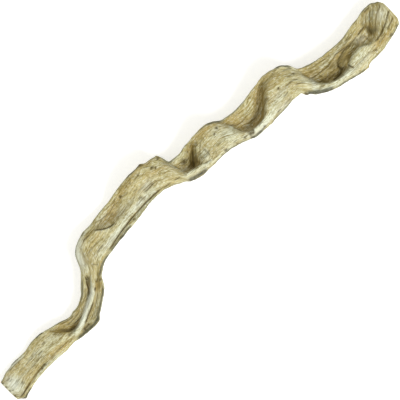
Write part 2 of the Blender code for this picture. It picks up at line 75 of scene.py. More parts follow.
# Lines over the upper face, from the saw cut at -X to the one at +X, in mm.
FORM_LINES = [
    # Flat first length: its middle, the shoulder of its rim and the roll-over at its far end.
    [(-293, 0, 10), (-272, 2, 7.5), (-255, 4, 6.3), (-238, 6, 8.5), (-227, 8, 11.5), (-219, 8, 14)],
    [(-289, -12, 9), (-270, -9, 7), (-252, -6, 6.2), (-236, -5.5, 8.5), (-219, -6.5, 12)],
    [(-217, 15, 15), (-211, 9, 15), (-206, 3.5, 14), (-203, -1, 13)],
    # First hollow and the slit that leads out of it.
    [(-205, 11, 12), (-201, 5, 8), (-197, 0, 5.5), (-188, 0.5, 7), (-178, 2.8, 10),
     (-170, 7.5, 12), (-161, 11.8, 12.5), (-155, 15.5, 12.5), (-151, 20, 13), (-148, 26, 14.5)],
    # Strand on the left of the slit.
    [(-196, 10, 13), (-186, 8, 12.5), (-176, 10, 14), (-166, 15.5, 17), (-157, 21.5, 19),
     (-150.5, 28.5, 20.5), (-144, 38, 22)],
    # Narrow ridge and, on its right, the foot that it shares with the side wing.
    [(-215, -7.5, 13), (-200, -6, 14), (-190, -4.3, 16), (-180, -1.5, 18.5), (-170, 3, 21),
     (-160, 7.2, 23), (-152, 12.5, 24), (-146, 20, 24.5), (-140, 30, 24.5)],
    [(-203, -10, 10.5), (-190, -9.5, 10), (-180, -6.8, 12), (-170, -2.5, 15), (-160, 1, 17.5),
     (-152, 5.5, 19), (-145, 12, 20)],
    # Broad face: its middle and the shoulder of its rim.
    [(-133, 45, 24), (-120, 45, 21), (-105, 44, 17.5), (-87, 41.5, 14), (-68, 44, 16.5),
     (-50, 48, 23), (-30, 52, 30), (-12, 50, 34)],
    [(-136, 23, 23), (-120, 30, 19.5), (-100, 33.5, 15), (-80, 37, 12.5), (-60, 39.3, 17),
     (-40, 40, 24), (-20, 38.5, 28), (-8, 35.5, 28.5), (2, 32.5, 27.5)],
    # Pocket beside the thin edge: the crest below it, its floor and the lip above it.
    [(-122, 57, 21.5), (-106, 57.5, 18), (-97, 51.5, 16.5), (-89, 47.8, 14.5), (-79, 46.5, 13.5)],
    [(-98, 59.5, 10), (-90, 56, 4.5), (-83, 54.5, 3.2), (-75, 55, 5), (-66, 57.5, 12.5)],
    [(-97, 64, 13), (-83, 65, 8.5), (-72, 66.5, 11), (-62, 68, 18.5)],
    # Crest of the broad face and the foot of its drop.
    [(-45, 68, 29), (-22, 68, 36), (-8, 63, 37), (-1.5, 57, 36.5), (2, 49, 35), (4.5, 41, 33),
     (4, 35, 30)],
    [(8.5, 51, 24), (8.5, 45, 22.5), (9.5, 39, 19.5), (12, 34, 14)],
    [(14, 48, 21.5), (15, 41, 18)],
    [(23, 50, 22), (21, 43, 18), (18, 37, 14.5)],
    # Second hollow, the crest of the rim in front of it and the shoulder below that.
    [(16, 32.3, 9.5), (21, 31.5, 7.5), (24.5, 36, 8.5), (28, 41, 10.5), (33, 46, 15), (37, 48.5, 21)],
    [(28.5, 30, 15), (30.5, 36, 17.5), (34, 41, 20.5), (38, 45, 24.5)],
    [(9, 30.5, 27), (20, 28, 26), (30, 25.3, 26), (40, 22, 27)],
    [(2, 28, 25), (9, 24, 22.5), (16, 22, 21), (26, 19.5, 20.5), (36, 18, 23)],
    # Second face and its crest, with the foot of the drop behind it.
    [(39, 39, 25), (46, 42, 29), (55, 45, 33), (64, 48, 36)],
    [(36, 29, 21), (45, 30, 27), (56, 32, 31), (68, 34, 34)],
    [(50, 20, 28), (62, 19, 29.5), (74, 16, 29), (84, 12.5, 27.5)],
    [(66, 50, 36), (71, 43, 36), (75, 35, 35), (79, 26, 32.5), (82, 20, 30), (88, 16, 27)],
    [(77, 44, 24.5), (79.5, 38, 23), (83, 31, 21), (85.5, 25, 17), (88.5, 20, 13)],
    # Third hollow: its slope, its floor, and the edge of the rim and third face beyond.
    [(90, 36, 20.5), (104, 35, 20), (117, 39, 23)],
    [(93, 27, 16.5), (104, 26, 15), (113, 30, 17)],
    [(93, 18.5, 10), (97, 17, 8.5), (105, 16.2, 7.5), (113, 19, 8.5), (120, 26, 12), (128, 35.5, 18.5),
     (136, 42, 26)],
    [(95, 13.7, 26), (105, 12.7, 25.5), (112.5, 14.5, 26), (121, 21.5, 28), (130, 31.5, 31),
     (139, 39, 34)],
    [(95, 9, 24), (110, 8, 24.5), (130, 9, 28), (155, 9, 31.5), (163, 4, 29.5), (172, -5, 24),
     (182, -12, 20), (194, -16, 18), (208, -19, 16)],
    # Third face, its crest and the foot of the drop behind it.
    [(130, 18, 30), (145, 24, 34), (158, 28, 38)],
    [(148, 40, 37), (160, 37, 38.5), (167, 32, 38.5), (170, 24, 37.5), (172, 14, 35), (174.5, 5, 32),
     (178.5, -3.5, 28.5), (185, -9, 26), (195, -12.7, 24), (204, -15, 21.5), (212, -14, 19)],
    [(175.5, 23.5, 23.5), (177.5, 16, 18.5), (180, 9, 13.5), (183.5, 1, 9.5), (189, -4.5, 7.5),
     (197, -8.5, 7), (204, -10.5, 7)],
    # Fourth hollow: its long left wall, the step in it and its floor.
    [(186, 14, 19), (200, 11.5, 18), (216, 11, 18), (232, 10.5, 17), (246, 12, 17.5), (258, 14, 18)],
    [(186, 6.5, 14), (200, 5.5, 13.5), (215, 7, 14), (230, 7.3, 13.5), (244, 6, 12), (256, 7, 12)],
    [(188, 1.5, 9.5), (198, 0, 9), (204, -3, 7.5)],
    # Tongue of wood in that hollow and the narrow floor round it.
    [(211.5, -1.5, 13), (220, 2, 14), (230, 3.5, 14), (236.5, 1.5, 13.5)],
    [(211, -6, 12.5), (218, -6, 13.5), (226, -3, 14.5), (234, -1.5, 14)],
    [(209, 3, 8), (217, 6, 10.5), (229, 6.8, 11.5), (240, 4, 10)],
    [(206.5, 0, 8), (206.5, -5, 7), (209, -9.5, 7), (214, -11, 9)],
    # Pale swelling in front of the tongue, and the last hollow.
    [(219, -11.5, 18), (225, -7, 20), (231, -5, 21), (237, -4.7, 21), (243, -7.3, 20),
     (248.5, -10.7, 18.5), (255, -12, 17.5)],
    [(220, -20, 15), (232, -19, 16), (246, -19, 16)],
    [(240, -1, 10), (247, -3.5, 7.5), (254, -5, 6.5), (256, 0, 7), (249, 2, 8)],
    # Fanned last length, up to the saw cut.
    [(260.5, 8, 18), (263, 2, 17), (263, -6, 15.5)],
    [(266, 12, 19.5), (278, 11, 20.5), (291, 4, 20)],
    [(268, -9, 16), (280, -4, 17.5), (291, 0, 18.5)],
    [(262, -17, 15.5), (276, -14.5, 16), (288, -10, 16)],
]
LINE_STEP = 2.5
SKIN_ROUNDING = 0.9
SKIN_EASE = 0.15

# Thickness of the wood at the rim, in the middle and at the thin edge, and at the first end.
RIM_THICKNESS = 7.6
MIDDLE_THICKNESS = 4.8
LEFT_THICKNESS = 4.4
END_THICKNESS = 7.2
RIM_WIDTH = 10.0
RIM_ROUND = 2.8
LEFT_ROUND = 2.0
# Where the grid's lines lie in the rounding of an edge, as shares of it.
EDGE_TURN = np.array([0.0, 0.04, 0.15, 0.32, 0.6, 1.0])

# Slant of the cross-sections in the steep part of the stem: where it is, how long and how much.
SLANT_AT = -148.0
SLANT_LENGTH = 24.0
SLANT = 16.0

# Lengthwise waves of the wood surface: ridges across the width, height and slow drift.
GRAIN_WAVES = [(3.0, 0.3, 0.9, 0.013), (6.5, 0.2, 2.1, 0.021)]

# Three low swellings of the underside that the stem rests on, each with a small flat spot.
FEET = [(-255, 1), (-83, 54.5), (199, -6)]
FOOT_FLAT = 5.5
FOOT_SINK = 0.4
FOOT_REACH = 12.0
FOOT_RISE = 3.5
# Height added to the lines, and the least height of the underside away from the flat spots.
LIFT = 2.6
CLEARANCE = 1.0


def smooth_curve(points, at):
    """Values of a smooth curve that never swings past its points. The first column is `at`."""
    points = np.asarray(points, float)
    x = points[:, 0]
    rise = np.diff(points, axis=0) / np.diff(x)[:, None]
    slope = np.empty_like(points)
    slope[0] = rise[0]
    slope[-1] = rise[-1]
    before = np.diff(x)[:-1, None]
    after = np.diff(x)[1:, None]
    one_way = rise[:-1] * rise[1:] > 0
    first = np.where(one_way, rise[:-1], 1.0)
    second = np.where(one_way, rise[1:], 1.0)
    blend = 3 * (before + after) / ((2 * after + before) / first + (after + 2 * before) / second)
    slope[1:-1] = np.where(one_way, blend, 0.0)
    at = np.clip(np.asarray(at, float), x[0], x[-1])
    k = np.clip(np.searchsorted(x, at, side="right") - 1, 0, len(x) - 2)
    span = x[k + 1] - x[k]
    t = ((at - x[k]) / span)[..., None]
    span = span[..., None]
    return ((2 * t ** 3 - 3 * t ** 2 + 1) * points[k] + (t ** 3 - 2 * t ** 2 + t) * span * slope[k]
            + (3 * t ** 2 - 2 * t ** 3) * points[k + 1] + (t ** 3 - t ** 2) * span * slope[k + 1])


def evenly_along(points, step):
    """Points at even steps along a smooth line through the given ones."""
    points = np.asarray(points, float)
    gaps = np.linalg.norm(np.diff(points[:, :2], axis=0), axis=1)
    run = np.concatenate([[0.0], np.cumsum(gaps)])
    table = np.column_stack([run, points])
    count = max(2, int(round(run[-1] / step)) + 1)
    return smooth_curve(table, np.linspace(0.0, run[-1], count))[:, 1:]


class Skin:
    """Height of the upper face anywhere over the plan of the stem."""

    def __init__(self):
        lines = [evenly_along(line, LINE_STEP) for line in [RIGHT_EDGE, LEFT_EDGE] + FORM_LINES]
        knots = np.vstack(lines)
        self.centres = knots[:, :2]
        count = len(knots)
        matrix = np.zeros((count + 3, count + 3))
        matrix[:count, :count] = self.kernel(self.centres) - SKIN_EASE * np.eye(count)
        matrix[:count, count:] = self.plane(self.centres)
        matrix[count:, :count] = self.plane(self.centres).T
        answer = np.linalg.solve(matrix, np.concatenate([knots[:, 2], np.zeros(3)]))
        self.weights = answer[:count]
        self.tilt = answer[count:]

    def kernel(self, spots):
        gap = spots[:, None, :] - self.centres[None, :, :]
        return np.sqrt((gap ** 2).sum(axis=2) + SKIN_ROUNDING ** 2)

    def plane(self, spots):
        return np.column_stack([np.ones(len(spots)), spots / 100.0])

    def __call__(self, x, y):
        spots = np.column_stack([np.ravel(x), np.ravel(y)])
        parts = [self.kernel(block) @ self.weights + self.plane(block) @ self.tilt
                 for block in np.array_split(spots, 1 + len(spots) // 4000)]
        return np.concatenate(parts).reshape(np.shape(x))


def ease(t):
    t = np.clip(t, 0.0, 1.0)
    return t * t * (3 - 2 * t)


def soft_minimum(a, b, blend):
    """The smaller of two values, with a rounded change from one to the other."""
    share = np.clip(0.5 + 0.5 * (b - a) / blend, 0.0, 1.0)
    return b * (1 - share) + a * share - blend * share * (1 - share)


def plan(lengths, widths):
    """Plan position of the grid: along the stem, and across it from the rim to the thin edge."""
    along, across = np.meshgrid(lengths, widths, indexing="ij")
    lean = SLANT * np.exp(-((along - SLANT_AT) / SLANT_LENGTH) ** 2)
    first, last = RIGHT_EDGE[0][0], RIGHT_EDGE[-1][0]
    x_right = np.clip(along + 0.5 * lean, first, last)
    x_left = np.clip(along - 0.5 * lean, first, last)
    y_right = smooth_curve(RIGHT_EDGE, x_right)[..., 1]
    y_left = smooth_curve(LEFT_EDGE, x_left)[..., 1]
    x = x_right + (x_left - x_right) * across
    y = y_right + (y_left - y_right) * across
    wide = np.hypot(x_left - x_right, y_left - y_right)
    return x, y, wide


def thickness(x, across, wide):
    from_rim = across * wide
    rim = 1 - ease(from_rim / RIM_WIDTH)
    body = MIDDLE_THICKNESS + (LEFT_THICKNESS - MIDDLE_THICKNESS) * across
    body = body + (END_THICKNESS - body) * (1 - ease((x + 250) / 60))
    return body + np.maximum(RIM_THICKNESS - body, 0) * rim


def grain(x, across):
    """Low lengthwise ridges that run with the fibres."""
    height = np.zeros_like(x)
    for ridges, size, phase, drift in GRAIN_WAVES:
        swell = 0.65 + 0.35 * np.sin(drift * 1.7 * x + phase * 3)
        wander = phase + 1.4 * np.sin(drift * x + phase)
        height += size * swell * np.sin(2 * math.pi * ridges * across + wander)
    return height


def edge_samples(wide, count):
    """Fractions across the width, close together where the two edges are rounded."""
    right = EDGE_TURN * RIM_ROUND / wide
    left = 1 - EDGE_TURN[::-1] * LEFT_ROUND / wide
    middle = np.linspace(right[-1], left[0], count)[1:-1]
    return np.concatenate([right, middle, left])


def underside(x, y, thick, height_map):
    """Lower face: the upper one set back by the thickness, as a ball rolled below it leaves it."""
    grid_x, grid_y, heights = height_map
    step = grid_x[1] - grid_x[0]

    def sample(px, py):
        fx = np.clip((px - grid_x[0]) / step, 0, len(grid_x) - 1.001)
        fy = np.clip((py - grid_y[0]) / step, 0, len(grid_y) - 1.001)
        ix, iy = fx.astype(int), fy.astype(int)
        tx, ty = fx - ix, fy - iy
        return ((1 - tx) * (1 - ty) * heights[ix, iy] + tx * (1 - ty) * heights[ix + 1, iy]
                + (1 - tx) * ty * heights[ix, iy + 1] + tx * ty * heights[ix + 1, iy + 1])

    low = sample(x, y) - thick
    for ring in (0.25, 0.5, 0.7, 0.85, 0.95, 1.0):
        for turn in range(16):
            angle = 2 * math.pi * (turn + 0.5 * (ring > 0.6)) / 16
            shift = ring * thick
            reach = np.sqrt(np.maximum(thick ** 2 - shift ** 2, 0))
            low = np.minimum(low, sample(x + shift * math.cos(angle), y + shift * math.sin(angle)) - reach)
    return low


# Steps of the grid along and across, trial steps across, and rows of points on each sawn end.
FINE_LENGTH_STEPS = 840
FINE_WIDTH_STEPS = 44
TRIAL_WIDTH_STEPS = 90
CAP_ROWS = 5
# Width that stands for the whole stem where only the share of it counts, in mm.
USUAL_WIDTH = 36.0

# Dark lines and cracks, from the faintest to the broadest: half width and depth in mm, darkness, then the
# points of each line in mm. The broader lines also paint the shade in deep slits and along creases.
CRACKS = [
    (0.5, 0.3, 0.5, [
        [(-276, 13), (-270, 11.4), (-266, 10.6)], [(-291, 2), (-286, 1.2), (-277, 2.4)],
        [(-272, 6.4), (-262, 7), (-250, 8.6)],
        [(-262, 10.6), (-250, 9.8), (-241, 12.5), (-231, 15.2), (-222, 14.4)],
        [(-213, 14), (-209, 9.4), (-205.6, 6)], [(-215.6, 13.4), (-211, 7.6), (-207, 3)],
        [(-176, 9.8), (-168, 13.6), (-160, 19.6), (-152, 28)], [(-164, 9.6), (-159, 13.4), (-155.4, 17.4)],
        [(-196, -11.4), (-188, -12.8), (-178, -12.6)], [(-121, 52.6), (-113, 53.4), (-105, 53)],
        [(-130, 44), (-118, 46), (-106, 45.6), (-96, 44.8)], [(-140, 38.8), (-135, 37.4)],
        [(-96, 44.6), (-89, 44.4)], [(-72, 41.4), (-64, 42.4)], [(-36, 67.4), (-30, 69)],
        [(-27, 55.6), (-20, 56.2)], [(-54, 44.4), (-45, 44.6), (-38, 43.6)],
        [(28, 28), (32, 33.6), (38, 39)], [(31, 47.5), (36, 50), (40, 52)],
        [(46, 44), (56, 45.4), (66, 45)], [(114, 27), (120, 32.6), (127, 38.6), (136, 43.6)],
        [(96, 22), (104, 20.4), (110, 21.6), (118, 28)], [(134, 36), (142, 38), (152, 37)],
        [(148, 41), (156, 41.4), (163, 41)], [(26, 29), (31, 37), (37, 44), (44, 49)],
        [(31, 28), (36, 35.6), (42, 42), (50, 47)], [(42.4, 25.4), (42, 31), (39.6, 38)],
        [(176, 19.4), (188, 15), (204, 13), (222, 12.8), (240, 13.4)],
        [(212, -5), (220, -2.6), (230, 0.4)], [(214, -1.6), (222, 1.6), (230, 2.6)],
        [(241, 0), (249, -1.4), (254, 0)], [(243, -3), (250, -4.4)], [(267, -6), (275, -1), (284, 4.4)],
        [(262, -21), (270, -19.6)],
    ]),
    (0.5, 0.3, 0.65, [
        [(-283, 16.2), (-275, 15.4), (-265, 15.4), (-255, 14.6), (-249, 16), (-242, 18.2)],
        [(-256, 15.2), (-256, 12.6)], [(-264, 15.2), (-264.5, 13)],
        [(-270, -1), (-262, 0.4), (-252, 1.2), (-244, 1.4), (-237, 0.8)], [(-291, -2), (-288, -2.4)],
        [(-240, -6), (-230, -6.4), (-218, -7), (-206, -6.2)], [(-207, 15.4), (-198, 12), (-190, 10.2)],
        [(-199, -4.4), (-192, -3.2), (-186, -2)],
        [(-172, 9.6), (-165, 12.4), (-159, 16.4), (-153.4, 22.4)],
        [(-176, -8), (-171, -6.4), (-165, -5), (-160, -2)], [(-172, -10.4), (-165, -7.4), (-158, -2.8)],
        [(-162, -1), (-155, 3), (-149, 7.6)], [(-132, 33.4), (-129, 30.4), (-127, 28.2)],
        [(-104, 63.4), (-96, 62.4), (-88, 60.8), (-80, 60), (-72, 61.6), (-64, 64.6)],
        [(-215, 13.6), (-211, 8), (-206.4, 3.6)], [(-217, 12), (-212, 5.4), (-207.4, 1)],
        [(-37, 64.8), (-30, 66.4), (-24, 67.4)], [(24, 29), (28, 34.5), (34, 40.6)],
        [(42, 20.8), (50, 19.8)], [(41.4, 40), (42.4, 33), (42, 26)], [(53, 22.4), (60, 22)],
        [(83.6, 24.5), (84.6, 20.5)], [(69, 18.4), (75, 17.6)], [(141.5, 25.4), (147, 26)],
        [(158.5, 27.6), (163, 26.2), (167, 25.4)], [(166, 27), (167, 23)],
        [(136, 8.2), (141, 8.4), (150, 9.2)], [(158, 41.8), (163, 41.4)],
        [(182, 3.4), (190, 2.4), (198, 2), (205, 1.4)], [(184, -3.4), (192, -3), (200, -3.2), (206, -3.6)],
        [(188, -6.6), (196, -6.4), (204, -6)],
        [(178, 14.6), (190, 11), (205, 9.8), (220, 10.6), (238, 9.6), (254, 11.4)],
        [(219.6, -17.2), (232, -17.4), (246, -16.6)], [(239, 3.2), (246, 2.4), (252, 3)],
        [(262.5, -2), (268, 4.6), (274, 10.4), (281, 15)],
        [(264, -4.4), (270, 1.4), (277, 7), (284, 10.6)], [(261, 7), (266, 12.6), (271, 16)],
        [(279, 16.4), (283, 17), (286, 15.6)], [(256, -17), (264, -16), (272, -15.2)],
    ]),
    (0.6, 0.4, 0.8, [
        [(-268, -9.2), (-262, -8), (-254, -7), (-246, -6.4), (-240, -6.2)], [(-288, 9.4), (-282, 9.6)],
        [(-286, 6.6), (-281, 7)], [(-292.4, 1), (-291.8, -2.6)], [(-244, 4.8), (-240, 5.4), (-236, 5)],
        [(-233, 10.4), (-227, 9.8)], [(-204, 12.4), (-197, 9.8), (-190, 8.2), (-183, 8)],
        [(-201, 7), (-195, 5.4), (-188, 5.4), (-182, 6.2), (-176, 7.4)],
        [(-193, 2.2), (-188, 1.2), (-183, 1.2), (-177, 3.2)], [(-205, -4), (-202, -3), (-199, -3.8)],
        [(-147, 24.6), (-145.4, 26), (-144.6, 30)], [(-123, 56.6), (-118, 58.4), (-111, 57.8)],
        [(-119, 63.2), (-112, 63.6)], [(-120, 38.6), (-113, 39.3), (-107, 40)],
        [(-38, 50.6), (-30, 50.3), (-23, 50.4)], [(-40, 72.6), (-34, 73), (-26, 73)],
        [(-20, 72.6), (-16.6, 70)], [(-20, 37.2), (-12, 36), (-8, 35.2)], [(-5, 34.4), (3, 32.6)],
        [(19.5, 33), (24, 39), (30, 44.6)], [(30, 24.8), (36, 23.2), (40, 21)],
        [(79.6, 36), (83.4, 31), (88, 28.6), (94, 27.6), (99, 27.8)], [(142, 14.6), (150, 15.4)],
        [(150, 21.4), (160, 20.8), (166, 18.4), (168.5, 17)], [(159.5, 15.4), (165, 12.8), (171, 9.4)],
        [(160, 35.6), (165, 33.8), (171, 30)], [(125.5, 7.8), (132, 7.8)], [(180, -1.2), (187, -2.6)],
        [(186.8, 5.6), (187.6, 2.4), (188.4, 0)], [(262, 1), (266, 6.6), (271, 12), (277, 16)],
        [(268, -19.4), (273, -20.4)], [(282, -17), (287, -15.6)],
    ]),
    (0.7, 0.4, 0.95, [
        [(206, 5), (211, 6.4), (215, 7.6), (223.5, 6.4), (232, 5.2), (239, 4.6), (249.6, 5.8)],
        [(-292.6, 12), (-291.4, 9.4)], [(-292.4, 6.4), (-291.6, 4)], [(-292.4, -7), (-291.6, -9.6)],
        [(-160, 11.2), (-157, 13), (-154, 16.2), (-151.4, 20.8), (-149.4, 24.4), (-147.4, 27)],
        [(-143, 16), (-140.6, 17.2), (-137.6, 18.6)], [(-67, 36.4), (-63, 35.2)],
        [(-105, 58.6), (-100, 54.6), (-95, 51), (-89, 48.4), (-81, 47.4)],
        [(-38, 48.4), (-31, 47.9), (-21, 48.3)],
        [(175.6, 8.4), (182, 7), (188, 6), (199.6, 4.6), (208, 5.4)],
        [(268, 17.8), (273, 18.4), (278, 17.8)], [(273, -12.4), (279, -11), (284, -9.4), (288.4, -7)],
    ]),
    (0.9, 0.6, 1.0, [
        [(-291, -13.6), (-283, -12.8), (-275, -11), (-268, -9.2)],
        [(-148.4, 25.4), (-147, 27.2), (-146.4, 29.6)],
        [(-185, -7.8), (-180, -5.6), (-175, -3.2), (-168, -0.2), (-162, 2.4), (-158, 4.6)],
        [(-150, 10.6), (-148.4, 12.2), (-146.6, 13.4)],
        [(-114, 30.6), (-105, 32), (-95, 34), (-85, 36), (-75, 37.3), (-65, 38.3), (-55, 39)],
        [(-62, 38.5), (-52, 39.1), (-44, 39.4), (-35, 39.4), (-26, 38.9), (-17, 38)],
        [(246, 5.4), (253, 6.2), (259.6, 7.4)], [(192, -9.6), (198, -11), (204, -11.2), (208.6, -9.6)],
        [(208.2, -1.4), (208.4, -4.6), (209.2, -8.6)], [(217, -9), (217.6, -13), (219.6, -17.4)],
        [(252.6, -12.7), (261, -12.2), (269, -10), (276.5, -7), (281, -4.6)],
        [(278, -6.2), (283.5, -3), (287, -0.8), (291, 0.6)],
    ]),
    (1.3, 0.45, 0.7, [
        [(-208.6, 9.6), (-205, 5.4), (-201.6, 1.6), (-198.4, -1), (-193, -1.8), (-188, -1.2)],
        [(20, 28.6), (24, 34.4), (28.6, 40), (33, 45)],
        [(261, 6.4), (259.6, 2), (259.6, -2), (257.6, -5.6)],
    ]),
]

# Sharp edges that hang over lower wood on their right-hand side as the points run: drop, reach of the
# drop and how far the lower wood is drawn in under the edge, in mm, painted shade below the edge, painted
# highlight on its crest, then points in mm.
BRINKS = [
    (1.8, 2.6, 1.6, 0.9, 0.3, [(-218, 18.4), (-212, 11.6), (-207, 6.4), (-203, 2), (-200, -0.8),
                               (-197, -2.2)]),
    (1.6, 2.0, 2.4, 0.9, 0.6, [(-182, 0.6), (-188, -1.6), (-194, -2.4), (-199, -1.6)]),
    (0.4, 1.0, 2.2, 0.2, 0.6, [(-139, 28), (-144.6, 23), (-149, 19), (-154, 14.6), (-159, 11), (-165, 8)]),
    (0.2, 0.8, 0.8, 0.1, 0.6, [(-165, 9), (-172, 5.4), (-179, 1.4), (-186, -1)]),
    (1.6, 1.4, 1.2, 0.6, 0.5, [(-202, -11.2), (-194, -9.6), (-185, -7.4), (-175, -3), (-168, 0.2),
                               (-160, 3.6), (-152, 8.6), (-145, 14), (-136.6, 18.8)]),
    (0.9, 2.5, 0.5, 0.4, 0.4, [(-126, 58), (-129.6, 50), (-132, 42), (-131, 35)]),
    (0.9, 1.2, 0.4, 0.3, 0.5, [(-19, 38), (-28, 39), (-40, 39.4), (-50, 39.4), (-60, 38.8), (-68, 38),
                               (-80, 36.7), (-90, 34.9), (-100, 33), (-112, 31.2)]),
    (0.8, 1.2, 1.2, 0.5, 0.4, [(-78, 46.8), (-86, 47.6), (-92, 49.4), (-98, 52.4), (-103, 56.4),
                               (-107, 58.4)]),
    (0.8, 2.0, 0.8, 0.2, 0.3, [(-98, 63.4), (-90, 61), (-82, 60.2), (-74, 61.4), (-66, 64)]),
    (1.0, 1.6, 2.4, 0.5, 0.5, [(8.6, 36.4), (6.4, 44), (3, 52), (-2, 60)]),
    (1.6, 1.4, 2.6, 0.4, 0.7, [(35, 23.8), (30, 25.6), (24, 27.6), (17, 29), (10, 32.4), (7.6, 36)]),
    (1.2, 1.6, 1.0, 0.7, 0.5, [(2, 27.4), (8, 24.6), (15, 22.6), (24, 21), (32, 18.6)]),
    (1.0, 2.2, 1.6, 0.5, 0.4, [(83.4, 21), (82, 27), (79, 35.6), (74, 42.4), (70, 46)]),
    (1.4, 1.2, 2.4, 0.6, 0.7, [(118, 18.6), (111, 14), (104, 12.8), (96, 13.2), (89, 15.4), (84, 19)]),
    (0.8, 1.2, 2.0, 0.8, 0.3, [(136, 39.6), (130, 34), (123, 26.4), (116, 17.8)]),
    (1.2, 1.8, 2.8, 0.3, 0.6, [(214, -10.4), (208, -12.6), (200, -13.2), (192, -11), (185.4, -7),
                               (180.8, -1.4), (177.2, 7), (174.6, 15), (173, 23), (172, 30)]),
    (1.4, 1.6, 1.0, 0.9, 0.4, [(160, 1.6), (165, -3), (170, -7), (175, -10), (181, -13), (190, -16.4)]),
    (1.8, 1.4, 1.4, 0.6, 0.4, [(238, 2.6), (234, 4.4), (229, 5), (223.5, 4.6), (218.8, 2.9), (212.7, 0.4),
                               (209.4, -2.4), (208.8, -5), (210.6, -8)]),
    (1.2, 1.8, 2.2, 0.7, 0.5, [(238, -4.2), (234, -3), (231, -3.2), (225, -5.8), (218.8, -8.5),
                               (213, -10.4)]),
    (0.8, 1.4, 1.6, 0.4, 0.4, [(254, -12), (246.5, -9.2), (242, -6.5), (236.5, -3.6)]),
    (1.2, 1.8, 1.2, 0.7, 0.3, [(257, -8.4), (261.4, -3), (261, 2), (262.6, 7.4)]),
    (0.8, 1.4, 0.4, 0.5, 0.3, [(236.6, -2), (238, 0.6), (238.6, 3.4)]),
]

# Shallow places in the hollows: rise and reach in mm, then points along their middle.
FILLS = [
    (4.5, 4.2, [(-192, 0.6), (-184, 2), (-175, 5), (-168, 9.4), (-160, 13.6), (-153, 19), (-148, 26)]),
    (6.5, 6.5, [(-96, 55), (-86, 54), (-76, 53)]),
    (6.5, 5.0, [(8, 34), (13, 33), (19, 34)]),
    (5.0, 4.0, [(27, 31), (33, 30), (40, 27)]),
    (6.5, 6.0, [(88, 20), (97, 18.6), (106, 18.6), (114, 23), (122, 31)]),
    (4.0, 5.0, [(181, 5), (185, -1), (194, -5), (205, -7)]),
    (6.5, 5.5, [(241, 0), (247, -1.6), (253, -2.4)]),
]
